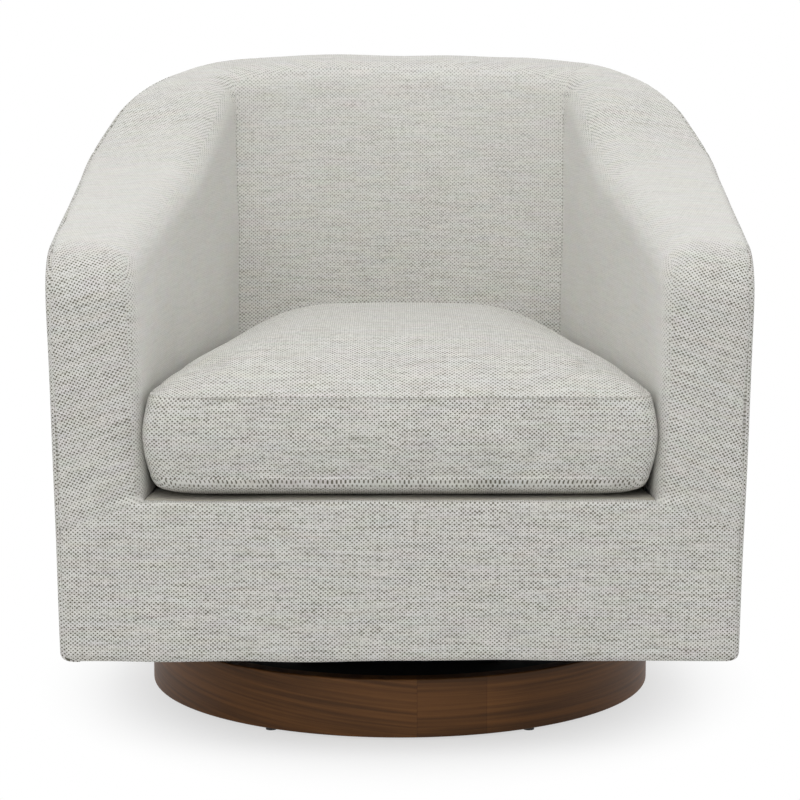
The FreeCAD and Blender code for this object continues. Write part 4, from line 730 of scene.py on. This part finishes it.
def makeCushion(p=cushion):
    n = p["rings"]
    outline = cushionOutline(p)
    centre = np.array((0, p["middle"]))
    around = len(outline)
    length = np.concatenate([[0], np.cumsum(np.linalg.norm(np.roll(outline, -1, 0) - outline, axis=1))])
    shares = np.linspace(0, 1, n + 1)
    shares[-3:-1] = 1 - np.array(p["seamRings"])
    vertices, faces, uvs = [], [], []

    def ringPoint(i, j):
        k = max(abs(i), abs(j))
        if k == 0:
            return centre, 0.0
        if j == -k and 0 <= i < k:
            step = i
        elif i == k and j < k:
            step = 2 * k + j
        elif j == k and i > -k:
            step = 4 * k - i
        elif i == -k and j > -k:
            step = 6 * k - j
        else:
            step = 8 * k + i
        place = outline[round(step / k * n) % around]
        return centre + (place - centre) * shares[k], shares[k]

    def panel(height, flip):
        numbers = {}
        for i in range(-n, n + 1):
            for j in range(-n, n + 1):
                place, share = ringPoint(i, j)
                numbers[i, j] = len(vertices)
                vertices.append((*place, height(share)))
        for i in range(-n, n):
            for j in range(-n, n):
                quad = [numbers[i, j], numbers[i + 1, j], numbers[i + 1, j + 1], numbers[i, j + 1]]
                quad = quad[::-1] if flip else quad
                faces.append(quad)
                uvs.extend(vertices[v][:2] for v in quad)
        rim = [numbers[i, -n] for i in range(0, n)] + [numbers[n, j] for j in range(-n, n)]
        rim += [numbers[i, n] for i in range(n, -n, -1)] + [numbers[-n, j] for j in range(n, -n, -1)]
        return rim + [numbers[i, -n] for i in range(-n, 0)]

    def underside(q):
        # a quarter round from the flat bottom up to the seam
        rolled = max(0, 1 - (1 - q) / p["roll"])
        return p["seamLow"] - (p["seamLow"] - p["low"]) * math.sqrt(1 - rolled ** 2)

    top = panel(lambda q: p["seamHigh"] + p["crown"] * (1 - q ** p["crownPower"]), False)
    base = panel(underside, True)
    inward = centre - outline
    inward /= np.linalg.norm(inward, axis=1)[:, None]
    corner = np.hypot(np.abs(outline[:, 0]) - p["half"], outline[:, 1] - p["front"])
    swell = (p["bulge"] + p["cornerBulge"] * np.exp(-(corner / p["cornerReach"]) ** 2))[:, None]
    steps = np.linspace(0, 1, p["bandRows"] + 1)
    steps = np.concatenate([p["firstRows"], steps[1:-1], p["lastRows"]])
    rows = [base]
    for step in steps[1:-1]:
        z = p["seamLow"] + (p["seamHigh"] - p["seamLow"]) * step
        out = outline - inward * swell * math.sin(math.pi * step)
        rows.append(list(range(len(vertices), len(vertices) + around)))
        vertices.extend((x, y, z) for x, y in out)
    rows.append(top)
    heights = p["seamLow"] + (p["seamHigh"] - p["seamLow"]) * steps
    for low, high, z0, z1 in zip(rows[:-1], rows[1:], heights[:-1], heights[1:]):
        for i in range(around):
            j = (i + 1) % around
            faces.append([low[i], low[j], high[j], high[i]])
            uvs.extend([(length[i], z0), (length[i + 1], z0), (length[i + 1], z1), (length[i], z1)])
    found = addMesh("seatCushion", vertices, faces)
    paintUvs(found.data, uvs)
    pins = found.vertex_groups.new(name="pins")
    pins.add(base + top, 1.0, "REPLACE")
    each = (2 * n + 1) ** 2
    pins.add(list(range(each, 2 * each)), 1.0, "REPLACE")      # all of the underside
    seam = found.vertex_groups.new(name="seam")
    seam.add(base + top, 1.0, "REPLACE")
    beside = found.vertex_groups.new(name="beside")
    beside.add(rows[1] + rows[-2], 1.0, "REPLACE")
    inflate(found, p)
    ridge(found, p)
    co = points(found.data)
    # the top shows fewer dark gaps than the band: painted light on the top
    span = p["seamHigh"] - p["paintedLightLow"], p["seamHigh"] + p["paintedLightHigh"]
    paintOpen(found, np.interp(co[:, 2], span, (1, p["topOpenPaintedLight"])))
    seam = co[top] + (0, 0, -p["stitchDrop"])
    seam[:, :2] -= inward * p["stitchOut"]
    cushionSeam.append(seam)
    finer = found.modifiers.new("finer", "SUBSURF")
    finer.levels = finer.render_levels = 1
    return applied(found)


def inflate(found, p):
    # the cover is sewn a little larger than the foam and swells between its pinned seams
    before = points(found.data)
    cloth = found.modifiers.new("swell", "CLOTH")
    settings = cloth.settings
    settings.quality = 5
    settings.mass = p["mass"]
    settings.tension_stiffness = settings.compression_stiffness = p["stiffness"]
    settings.bending_stiffness = p["bending"]
    settings.use_pressure = True
    settings.uniform_pressure_force = p["pressure"]
    settings.shrink_min = -p["slack"]
    settings.vertex_group_mass = "pins"
    settings.effector_weights.gravity = 0
    cloth.point_cache.frame_start, cloth.point_cache.frame_end = 1, p["frames"]
    for number in range(1, p["frames"] + 1):
        scene.frame_set(number)
    graph = bpy.context.evaluated_depsgraph_get()
    swollen = points(found.evaluated_get(graph).data)
    found.modifiers.remove(cloth)
    scene.frame_set(1)
    move = swollen - before
    size = np.linalg.norm(move, axis=1, keepdims=True)
    move *= np.minimum(1, p["cap"] / np.maximum(size, 1e-9))
    found.data.vertices.foreach_set("co", (before + move).ravel())
    found.data.update()
    print(found.name, "swells up to", round(float(size.max()), 4))


def groupWeights(found, name):
    number = found.vertex_groups[name].index
    weights = np.zeros(len(found.data.vertices))
    for vertex in found.data.vertices:
        for item in vertex.groups:
            if item.group == number:
                weights[vertex.index] = item.weight
    return weights


def ridge(found, p):
    # the sewn edge stands up in a thin line between two shallow valleys
    co, normal = points(found.data), points(found.data, "normal")
    lift = p["ridge"] * groupWeights(found, "seam") - p["groove"] * groupWeights(found, "beside")
    found.data.vertices.foreach_set("co", (co + normal * lift[:, None]).ravel())
    found.data.update()


# What repeats along a path: stitches, staples and zip teeth, and wire bent along one
# the thread is a darker grey than the yarn and stands in for the shade in the needle holes: real thread with
# painted shade
threadWithPaintedShade = {"spacing": 0.0055, "length": 0.0031, "radius": 0.00036, "colour": (146, 143, 134)}
staple = {"spacing": 0.034, "length": 0.0105, "radius": 0.00055, "inset": 0.012}
tooth = {"spacing": 0.0026, "length": 0.0014, "radius": 0.0019}


def newPathTree(name, *numbers):
    tree = bpy.data.node_groups.new(name, "GeometryNodeTree")
    tree.interface.new_socket(name="Geometry", in_out="INPUT", socket_type="NodeSocketGeometry")
    for label in numbers:
        tree.interface.new_socket(name=label, in_out="INPUT", socket_type="NodeSocketFloat")
    tree.interface.new_socket(name="Material", in_out="INPUT", socket_type="NodeSocketMaterial")
    tree.interface.new_socket(name="Geometry", in_out="OUTPUT", socket_type="NodeSocketGeometry")
    given = tree.nodes.new("NodeGroupInput").outputs
    curve = addNode(tree, "GeometryNodeMeshToCurve", Mesh=given["Geometry"])
    return tree, given, curve


def finishPathTree(tree, given, geometry):
    painted = addNode(tree, "GeometryNodeSetMaterial", Geometry=geometry, Material=given["Material"])
    tree.links.new(painted, tree.nodes.new("NodeGroupOutput").inputs[0])
    return tree


def makeRepeatTree():
    # short rounded pins laid along a path at even steps
    tree, given, curve = newPathTree("repeatAlong", "Spacing", "Length", "Radius")
    steps = addNode(tree, "GeometryNodeResampleCurve", settings={"mode": "LENGTH"}, Curve=curve,
                    Length=given["Spacing"])
    ball = addNode(tree, "GeometryNodeMeshUVSphere", Segments=8, Rings=5, Radius=1.0)
    size = joinXyz(tree, times(tree, given["Length"], 0.5), given["Radius"], given["Radius"])
    way = addNode(tree, "FunctionNodeAlignRotationToVector", settings={"axis": "X"},
                  Vector=tree.nodes.new("GeometryNodeInputTangent").outputs[0])
    laid = addNode(tree, "GeometryNodeInstanceOnPoints", Points=steps, Instance=ball, Rotation=way,
                   Scale=size)
    return finishPathTree(tree, given, addNode(tree, "GeometryNodeRealizeInstances", Geometry=laid))


def makeWireTree():
    tree, given, curve = newPathTree("wireAlong", "Radius")
    circle = addNode(tree, "GeometryNodeCurvePrimitiveCircle", Resolution=8, Radius=given["Radius"])
    wire = addNode(tree, "GeometryNodeCurveToMesh", Curve=curve)
    node = wire.node
    tree.links.new(circle, node.inputs["Profile Curve"])
    node.inputs["Fill Caps"].default_value = True
    return finishPathTree(tree, given, addNode(tree, "GeometryNodeRealizeInstances", Geometry=wire))


def along(name, tree, paths, material, closed=False, **numbers):
    # runs a path tree over one or more lines of points
    places, edges = [], []
    for path in paths:
        first = len(places)
        places.extend(tuple(place) for place in path)
        edges.extend((i, i + 1) for i in range(first, len(places) - 1))
        if closed:
            edges.append((len(places) - 1, first))
    mesh = bpy.data.meshes.new(name)
    mesh.from_pydata(places, edges, [])
    found = addObject(name, mesh)
    modifier = found.modifiers.new("along", "NODES")
    modifier.node_group = tree
    for item in tree.interface.items_tree:
        if item.in_out == "INPUT" and item.name in numbers:
            modifier[item.identifier] = numbers[item.name]
        elif item.in_out == "INPUT" and item.name == "Material":
            modifier[item.identifier] = material
    return applied(found)


def rowOfPins(name, tree, lines, material, p, closed=False):
    return along(name, tree, lines, material, closed=closed, Spacing=p["spacing"], Length=p["length"],
                 Radius=p["radius"])


# The stitches in view, each line just proud of its seam
seamLine = {
    "low": 0.32, "high": 0.71, "step": 0.006, "room": 0.12, "aside": 0.0006,
    "proud": 0.0002, "frontProud": 0.0003,
}


def cornerSeam(side, pads, planes, p=seamLine):
    sign = -1 if side == "left" else 1
    place, _ = planes["corner", side]
    tree = BVHTree.FromObject(pads["back"], bpy.context.evaluated_depsgraph_get())
    into, path = Vector((sign, 1, 0)).normalized(), []
    for z in np.arange(p["low"], p["high"], p["step"]):
        rise = z - shell["deck"]
        corner = place + Vector((sign * shell["cornerLean"], shell["cornerBack"], 1)) * rise
        start = corner - into * p["room"] + Vector((-sign, 1, 0)) * p["aside"]
        hit = tree.ray_cast(start, into)[0]
        if hit is not None:
            path.append(hit - into * p["proud"])
    return path


def makeStitches(tree, pads, planes, material):
    outer = [outerSeams[side] for side in ("left", "right")]      # up the front edges
    lines = [line + normalAway(line) * seamLine["frontProud"] for line in outer]
    lines += [cornerSeam(side, pads, planes) for side in ("left", "right")]
    body = rowOfPins("bodyStitches", tree, lines, material, threadWithPaintedShade)
    loose = rowOfPins("cushionStitches", tree, cushionSeam, material, threadWithPaintedShade, closed=True)
    settle(body, "seat", "fabric", material)
    settle(loose, "cushion", "fabric", material)


def normalAway(line):
    # outwards from the middle of the chair, level
    way = line * (1, 0, 0)
    return way / np.maximum(np.linalg.norm(way, axis=1, keepdims=True), 1e-9)


# The zip at the back of the cushion: woven tape, teeth and slider
zipper = {
    "height": 0.3684, "half": 0.172, "tape": 0.0120, "proud": 0.0005, "step": 0.004, "castFrom": 0.4,
    "thickness": 0.0008, "teethOut": 0.0006, "soft": 0.0006,
    # size and place of the slider's body and of its pull
    "slider": (((0.010, 0.0030, 0.0075), (0, 0.0012, 0)), ((0.0030, 0.0014, 0.018), (0.001, 0.0026, -0.010))),
}


def makeZip(seat, tree, tapeMaterial, toothMaterial, p=zipper):
    surface = BVHTree.FromObject(seat, bpy.context.evaluated_depsgraph_get())
    across = np.arange(-p["half"], p["half"] + p["step"] / 2, p["step"])
    levels = np.linspace(-0.5, 0.5, 5) * p["tape"] + p["height"]
    ahead = Vector((0, -1, 0))
    hits = [[surface.ray_cast(Vector((x, p["castFrom"], z)), ahead)[0] for z in levels] for x in across]
    grid = np.array(hits)
    grid[..., 1] += p["proud"]
    rows, columns = grid.shape[:2]
    number = np.arange(rows * columns).reshape(rows, columns)
    quads = np.stack([number[:-1, :-1], number[:-1, 1:], number[1:, 1:], number[1:, :-1]], -1).reshape(-1, 4)
    tape = addMesh("zipTape", grid.reshape(-1, 3), quads.tolist(), grid.reshape(-1, 3)[:, ::2])
    thickened(tape, p["thickness"])
    settle(tape, "cushion", "zip", tapeMaterial, "cushion_zipper")
    middle = grid[:, columns // 2] + (0, p["teethOut"], 0)
    teeth = rowOfPins("zipTeeth", tree, [middle], toothMaterial, tooth)
    settle(teeth, "cushion", "zip", toothMaterial)
    end = Vector(middle[-3])
    slider = bmesh.new()
    for size, place in p["slider"]:
        cube = bmesh.ops.create_cube(slider, size=1.0)["verts"]
        bmesh.ops.scale(slider, verts=cube, vec=size)
        bmesh.ops.translate(slider, verts=cube, vec=end + Vector(place))
    found = addBuilt("zipSlider", slider)
    bevel = found.modifiers.new("soft", "BEVEL")
    bevel.width = p["soft"]
    bevel.segments = 2
    applied(found)
    settle(found, "cushion", "zip", toothMaterial)


# Springs: the coils of the rocker, and the zigzags under the deck
coils = {
    "x": 0.042, "y": 0.066, "low": 0.0672, "high": 0.1105, "radius": 0.014, "wire": 0.0022,
    "turns": 5, "steps": 22,
}
zigzag = {
    "start": -0.361, "end": 0.209, "z": 0.2612, "bend": 0.011, "run": 0.013, "wire": 0.0018,
    "gap": 0.106, "count": 5,
}


def makeCoils(tree, material, p=coils):
    share = np.linspace(0, 1, p["turns"] * p["steps"] + 1)
    angle = share * p["turns"] * turn
    rise = p["low"] + (p["high"] - p["low"]) * share
    for name, side in (("frontCoils", -1), ("rearCoils", 1)):
        paths = []
        for x in (-p["x"], p["x"]):
            coil = [x + p["radius"] * np.cos(angle), side * p["y"] + p["radius"] * np.sin(angle), rise]
            paths.append(np.stack(coil, 1))
        found = along(name, tree, paths, material, Radius=p["wire"])
        found.data.materials.clear()
        found.data.materials.append(material)
        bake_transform(found)
        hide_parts("front_rocker_springs" if side < 0 else "rear_rocker_springs")


def makeZigzags(tree, material, p=zigzag):
    turns = int((p["end"] - p["start"]) / (2 * p["bend"]) - 1)
    pitch = (p["end"] - p["start"]) / (turns + 1)
    paths = []
    for number in range(p["count"]):
        middle = (number - (p["count"] - 1) / 2) * p["gap"]
        path, side, y = [(middle - p["run"], p["start"], p["z"])], 1, p["start"]
        for bend in range(turns + 1):
            path.append((middle + side * p["run"], y, p["z"]))
            if bend < turns:
                for angle in np.linspace(0, math.pi, 7)[1:]:
                    out = middle + side * (p["run"] + pitch / 2 * math.sin(angle))
                    path.append((out, y + pitch / 2 * (1 - math.cos(angle)), p["z"]))
                y += pitch
            side = -side
        paths.append(path)
    found = along("zigzagSprings", tree, paths, material, Radius=p["wire"])
    settle(found, "seat", "spring_steel", material, "seat_springs")


# The dust cover: thin cloth stapled under the bottom board, with a hole for the mechanism
dust = {
    "z": 0.1148, "thickness": 0.0007, "half": 0.3672, "front": -0.3762, "holeX": 0.130, "holeY": 0.118,
    "rows": 9, "sideSteps": 30, "wave": 0.0006, "waveSize": 0.15, "stapleDrop": 0.0008,
}


def dustEdges(p=dust, inset=0.0):
    # the outer edge and the edge of the hole, with as many points on each of four sides
    n, half, front = p["sideSteps"], p["half"] - inset, p["front"] + inset
    share = np.linspace(0, 1, n + 1)[:-1]
    flank = int(n * 0.6)
    quarter = np.linspace(0, math.pi / 4, n - flank + 1)
    y0 = shell["barrelY"]
    ahead = np.stack([-half + 2 * half * share, np.full(n, front)], 1)
    straight = np.linspace(front, y0, flank + 1)[:-1]
    right = np.concatenate([np.stack([np.full(flank, half), straight], 1),
                            np.stack([half * np.cos(quarter), y0 + half * np.sin(quarter)], 1)[:-1]])
    angles = math.pi / 4 + math.pi / 2 * share
    rear = np.stack([half * np.cos(angles), y0 + half * np.sin(angles)], 1)
    last = [(-half / math.sqrt(2), y0 + half / math.sqrt(2))]
    left = np.concatenate([last, (right * (-1, 1))[:0:-1]])
    x, y = p["holeX"], p["holeY"]
    corners = np.array([(-x, -y), (x, -y), (x, y), (-x, y)])
    hole = [a + (b - a) * share[:, None] for a, b in zip(corners, np.roll(corners, -1, 0))]
    return np.concatenate([ahead, right, rear, left]), np.concatenate(hole)


def makeDustCover(tree, clothMaterial, stapleMaterial, p=dust):
    outer, hole = dustEdges()
    count = len(outer)
    vertices = []
    for share in np.linspace(0, 1, p["rows"]):
        row = outer + (hole - outer) * share
        waves = ripples(np.c_[row, np.zeros(count)], seed=5, waves=5, size=p["waveSize"])
        sag = p["wave"] * math.sin(math.pi * share) * (1 + waves) / 2
        vertices.extend(np.c_[row, p["z"] - sag])
    number = np.arange(count * p["rows"]).reshape(p["rows"], count)
    after = np.roll(number, -1, 1)
    quads = np.stack([number[:-1], number[1:], after[1:], after[:-1]], -1).reshape(-1, 4)
    uvs = np.array(vertices)[:, :2]
    found = addMesh("dustCover", vertices, quads.tolist(), uvs)
    found["area"] = sum(face.area for face in found.data.polygons)
    thickened(found, p["thickness"], 0)
    settle(found, "seat", "dust_cloth", clothMaterial, "dust_cover")
    line = np.c_[dustEdges(inset=staple["inset"])[0], np.full(count, p["z"] - p["stapleDrop"])]
    staples = rowOfPins("dustStaples", tree, [line], stapleMaterial, staple, closed=True)
    settle(staples, "seat", "zinc_steel", stapleMaterial)
    return found


# Finishes of the hard pieces, each read in metres from the piece itself
woods = {
    "walnut": {
        "light": (117, 77, 41), "dark": (79, 51, 26), "streak": 4.0, "fine": 250.0,
        "roughness": 0.5, "gloss": 0.2,
    },
    "plywood": {
        "light": (214, 184, 140), "dark": (178, 142, 98), "streak": 4.0, "fine": 160.0, "roughness": 0.7,
    },
    "softwood": {
        "light": (224, 196, 148), "dark": (190, 152, 100), "streak": 3.0, "fine": 120.0, "roughness": 0.7,
    },
    # the board inside the ring is stained near black; its darkness also stands for the shade inside the ring:
    # painted shade
    "black_board": {
        "light": (26, 21, 14), "dark": (15, 12, 7), "streak": 4.0, "fine": 160.0, "roughness": 0.8,
    },
}
ringGrain = {
    "radius": 0.314, "slant": 0.10, "joints": (0.020, 0.1034), "jointWidth": 0.0009, "jointShade": 0.25,
    "shift": 3.7, "darker": 0.10, "lighter": 0.22, "fadeRun": 0.055,
}
plainRows = (
    # name, colour, spread of its lightness, how fine, roughness, metallic
    ("fibreboard", (140, 104, 66), 0.30, 420.0, 0.85, 0.0),
    ("black_steel", (30, 30, 32), 0.15, 240.0, 0.45, 0.5),
    ("zinc_steel", (186, 187, 184), 0.12, 180.0, 0.36, 1.0),
    ("spring_steel", (96, 97, 100), 0.15, 300.0, 0.34, 1.0),
    ("nylon", (226, 223, 212), 0.06, 120.0, 0.5, 0.0),
    ("black_nylon", (20, 19, 18), 0.10, 200.0, 0.55, 0.0),
    ("rubber", (26, 25, 25), 0.20, 350.0, 0.82, 0.0),
    ("foam", (232, 216, 168), 0.18, 900.0, 0.95, 0.0),
    ("dust_cloth", (26, 26, 27), 0.45, 700.0, 0.95, 0.0),
    # thread grey darker than the yarn: real thread with painted shade of the needle holes
    ("threadWithPaintedShade", threadWithPaintedShade["colour"], 0.25, 2500.0, 0.85, 0.0),
    ("zip", (196, 193, 184), 0.15, 1400.0, 0.8, 0.0),
    ("zipTooth", (170, 168, 160), 0.08, 500.0, 0.4, 0.8),
)
plainKeys = ("colour", "spread", "scale", "roughness", "metallic")
plains = {name: dict(zip(plainKeys, row)) for name, *row in plainRows}


def makeWoodGroup():
    # grain along x
    tree, given, out = newGroup(
        "woodGrain",
        [("Vector", "Vector", None), ("Light", "Color", None), ("Dark", "Color", None),
         ("Streak", "Float", 5.0), ("Fine", "Float", 200.0)],
        [("Color", "Color"), ("Height", "Float")],
    )
    x, y, z = splitXyz(tree, given["Vector"])

    def grain(long, fine, detail):
        across = times(tree, given["Fine"], fine)
        place = stretch(tree, x, y, times(tree, given["Streak"], long), across, times(tree, z, across))
        return noise(tree, place, 1.0, detail)

    lines, broad, pores = grain(1.0, 1.0, 4.0), grain(0.7, 0.13, 3.0), grain(9.0, 4.0, 2.0)
    share = calc(tree, "ADD", times(tree, lines, 0.55), times(tree, broad, 0.45))
    wood = mixColour(tree, ranged(tree, share, 0.36, 0.64), given["Dark"], given["Light"])
    wood = mixColour(tree, times(tree, ranged(tree, pores, 0.58, 0.72), 0.35), wood, given["Dark"])
    tree.links.new(wood, out["Color"])
    tree.links.new(calc(tree, "SUBTRACT", lines, times(tree, pores, 0.5)), out["Height"])
    return tree


def makeWood(name, p, group, ring=None):
    material, tree, shader = newMaterial(name + "Finish")
    vector = addNode(tree, "ShaderNodeTexCoord", 3)
    tint = None
    if ring:
        # unrolled: x runs round the ring from its front, y up it
        x, y, z = splitXyz(tree, vector)
        run = times(tree, calc(tree, "ARCTAN2", x, times(tree, y, -1.0)), ring["radius"])
        first, second = ring["joints"]
        side = calc(tree, "GREATER_THAN", run, first)
        tilt = times(tree, run, times(tree, calc(tree, "SUBTRACT", 1.0, side), ring["slant"]))
        shifted = calc(tree, "ADD", run, times(tree, side, ring["shift"]))
        vector = joinXyz(tree, shifted, calc(tree, "ADD", z, tilt))
        fading = ranged(tree, run, second, second + ring["fadeRun"], ring["lighter"], 0.0, "LINEAR")
        lighter = times(tree, calc(tree, "GREATER_THAN", run, second), fading)
        seams = []
        for joint in ring["joints"]:
            gap = calc(tree, "ABSOLUTE", calc(tree, "SUBTRACT", run, joint))
            seams.append(ranged(tree, gap, 0, ring["jointWidth"], ring["jointShade"], 0))
        tint = calc(tree, "SUBTRACT", calc(tree, "SUBTRACT", lighter, times(tree, side, ring["darker"])),
                    calc(tree, "MAXIMUM", *seams))
    made = placeGroup(tree, group, Vector=vector, Light=colour(*p["light"]), Dark=colour(*p["dark"]),
                      Streak=p["streak"], Fine=p["fine"])
    painted = made["Color"]
    if tint is not None:
        adjusted = tree.nodes.new("ShaderNodeHueSaturation")
        tree.links.new(painted, adjusted.inputs["Color"])
        tree.links.new(calc(tree, "ADD", tint, 1.0), adjusted.inputs["Value"])
        painted = adjusted.outputs[0]
    tree.links.new(painted, shader.inputs["Base Color"])
    shader.inputs["Roughness"].default_value = p["roughness"]
    shader.inputs["Specular IOR Level"].default_value = p.get("gloss", 0.5)
    addBump(tree, shader, made["Height"], 0.25, 0.0003)
    return material


def makeUnevenGroup():
    tree, given, out = newGroup(
        "unevenSurface",
        [("Vector", "Vector", None), ("Base", "Color", None), ("Spread", "Float", 0.1),
         ("Scale", "Float", 200.0), ("Rough", "Float", 0.5)],
        [("Color", "Color"), ("Roughness", "Float"), ("Height", "Float")],
    )
    fine = noise(tree, given["Vector"], given["Scale"], 3.0)
    broad = noise(tree, given["Vector"], 14.0, 2.0)
    both = calc(tree, "ADD", times(tree, fine, 0.6), times(tree, broad, 0.4))
    offset = times(tree, calc(tree, "SUBTRACT", both, 0.5), times(tree, given["Spread"], 2.0))
    changed = tree.nodes.new("ShaderNodeHueSaturation")
    tree.links.new(given["Base"], changed.inputs["Color"])
    tree.links.new(calc(tree, "ADD", offset, 1.0), changed.inputs["Value"])
    tree.links.new(changed.outputs[0], out["Color"])
    rough = times(tree, calc(tree, "SUBTRACT", broad, 0.5), 0.2)
    tree.links.new(calc(tree, "ADD", given["Rough"], rough, clamp=True), out["Roughness"])
    tree.links.new(fine, out["Height"])
    return tree


def makePlain(name, p, group):
    material, tree, shader = newMaterial(name + "Finish")
    made = placeGroup(tree, group, Vector=addNode(tree, "ShaderNodeTexCoord", 3), Base=colour(*p["colour"]),
                      Spread=p["spread"], Scale=p["scale"], Rough=p["roughness"])
    tree.links.new(made["Color"], shader.inputs["Base Color"])
    tree.links.new(made["Roughness"], shader.inputs["Roughness"])
    shader.inputs["Metallic"].default_value = p["metallic"]
    addBump(tree, shader, made["Height"], 0.2, 0.0002)
    return material


makeCamera()
makeStage()
makeLamps()
print("stage ready")

weaveGroup, woodGroup, unevenGroup = makeWeaveGroup(), makeWoodGroup(), makeUnevenGroup()
finishes = {name: makePlain(name, p, unevenGroup) for name, p in plains.items()}
for name, p in woods.items():
    finishes[name] = makeWood(name, p, woodGroup, ringGrain if name == "walnut" else None)
cloth = makeCloth("heatheredCloth", weave, weaveGroup)
finishes["fabric"] = cloth
finishes["deck_cloth"] = makeCloth(
    "deckCloth", weave, weaveGroup, warp=0.0016, weft=0.0016, yarn=(196, 192, 180), shade=(176, 172, 160),
    gap=(140, 136, 124))
for node in nodes.values():
    for slot in node.material_slots:
        slot.material = finishes[slot.material.name]
print("finishes ready")

repeatTree, wireTree = makeRepeatTree(), makeWireTree()
outerNodes = {"left": "outer_arm_cover_left", "right": "outer_arm_cover_right", "back": "outer_back_cover"}
for part, node in outerNodes.items():
    piece = outerShell("outerCover" + part.capitalize(), part)
    settle(piece, "seat", "fabric", cloth, node)
    print(piece.name, "area", round(piece["area"], 4), [round(c, 3) for c in piece.dimensions])

planes = seamPlanes()
padSources = {
    "left": ("inner_arm_cover_left", "arm_foam_left"),
    "right": ("inner_arm_cover_right", "arm_foam_right"),
    "back": ("inner_back_cover", "back_foam"),
    "front": ("front_rail_cover", "front_foam"),
}
whole = paddedFrom("allPads", [node for sources in padSources.values() for node in sources])
crease(whole, planes)
turnedRound = {key: (place, -normal) for key, (place, normal) in planes.items()}
cuts = {
    "left": [turnedRound["corner", "left"], planes["mitre", "left"], (Vector(), Vector((-1, 0, 0)))],
    "right": [turnedRound["corner", "right"], planes["mitre", "right"], (Vector(), Vector((1, 0, 0)))],
    "back": [planes["corner", "left"], planes["corner", "right"]],
    "front": [turnedRound["mitre", "left"], turnedRound["mitre", "right"],
              (Vector((0, -0.3, 0)), Vector((0, -1, 0))),
              (Vector((0, 0, shell["deck"])), Vector((0, 0, -1)))],
}
pads = {}
for part, sources in padSources.items():
    piece = pads[part] = partOf(whole, "pad" + part.capitalize(), cuts[part])
    paintWeave(piece, part)
    settle(piece, "seat", "fabric", cloth, *sources)
    print(piece.name, len(piece.data.polygons))
bpy.data.objects.remove(whole)
deck = paddedFrom("padDeck", ("deck_cover", "deck_pad"))
paintWeave(deck, "deck")
settle(deck, "seat", "deck_cloth", finishes["deck_cloth"], "deck_cover", "deck_pad")
print("upholstery ready")

seat = makeCushion()
settle(seat, "cushion", "fabric", cloth, "seat_cushion_core", "seat_cushion_cover")
print("cushion ready")

makeStitches(repeatTree, pads, planes, finishes["threadWithPaintedShade"])
makeZip(seat, repeatTree, finishes["zip"], finishes["zipTooth"])
makeCoils(wireTree, finishes["spring_steel"])
makeZigzags(wireTree, finishes["spring_steel"])
under = makeDustCover(repeatTree, finishes["dust_cloth"], finishes["zinc_steel"])
print("small pieces ready")
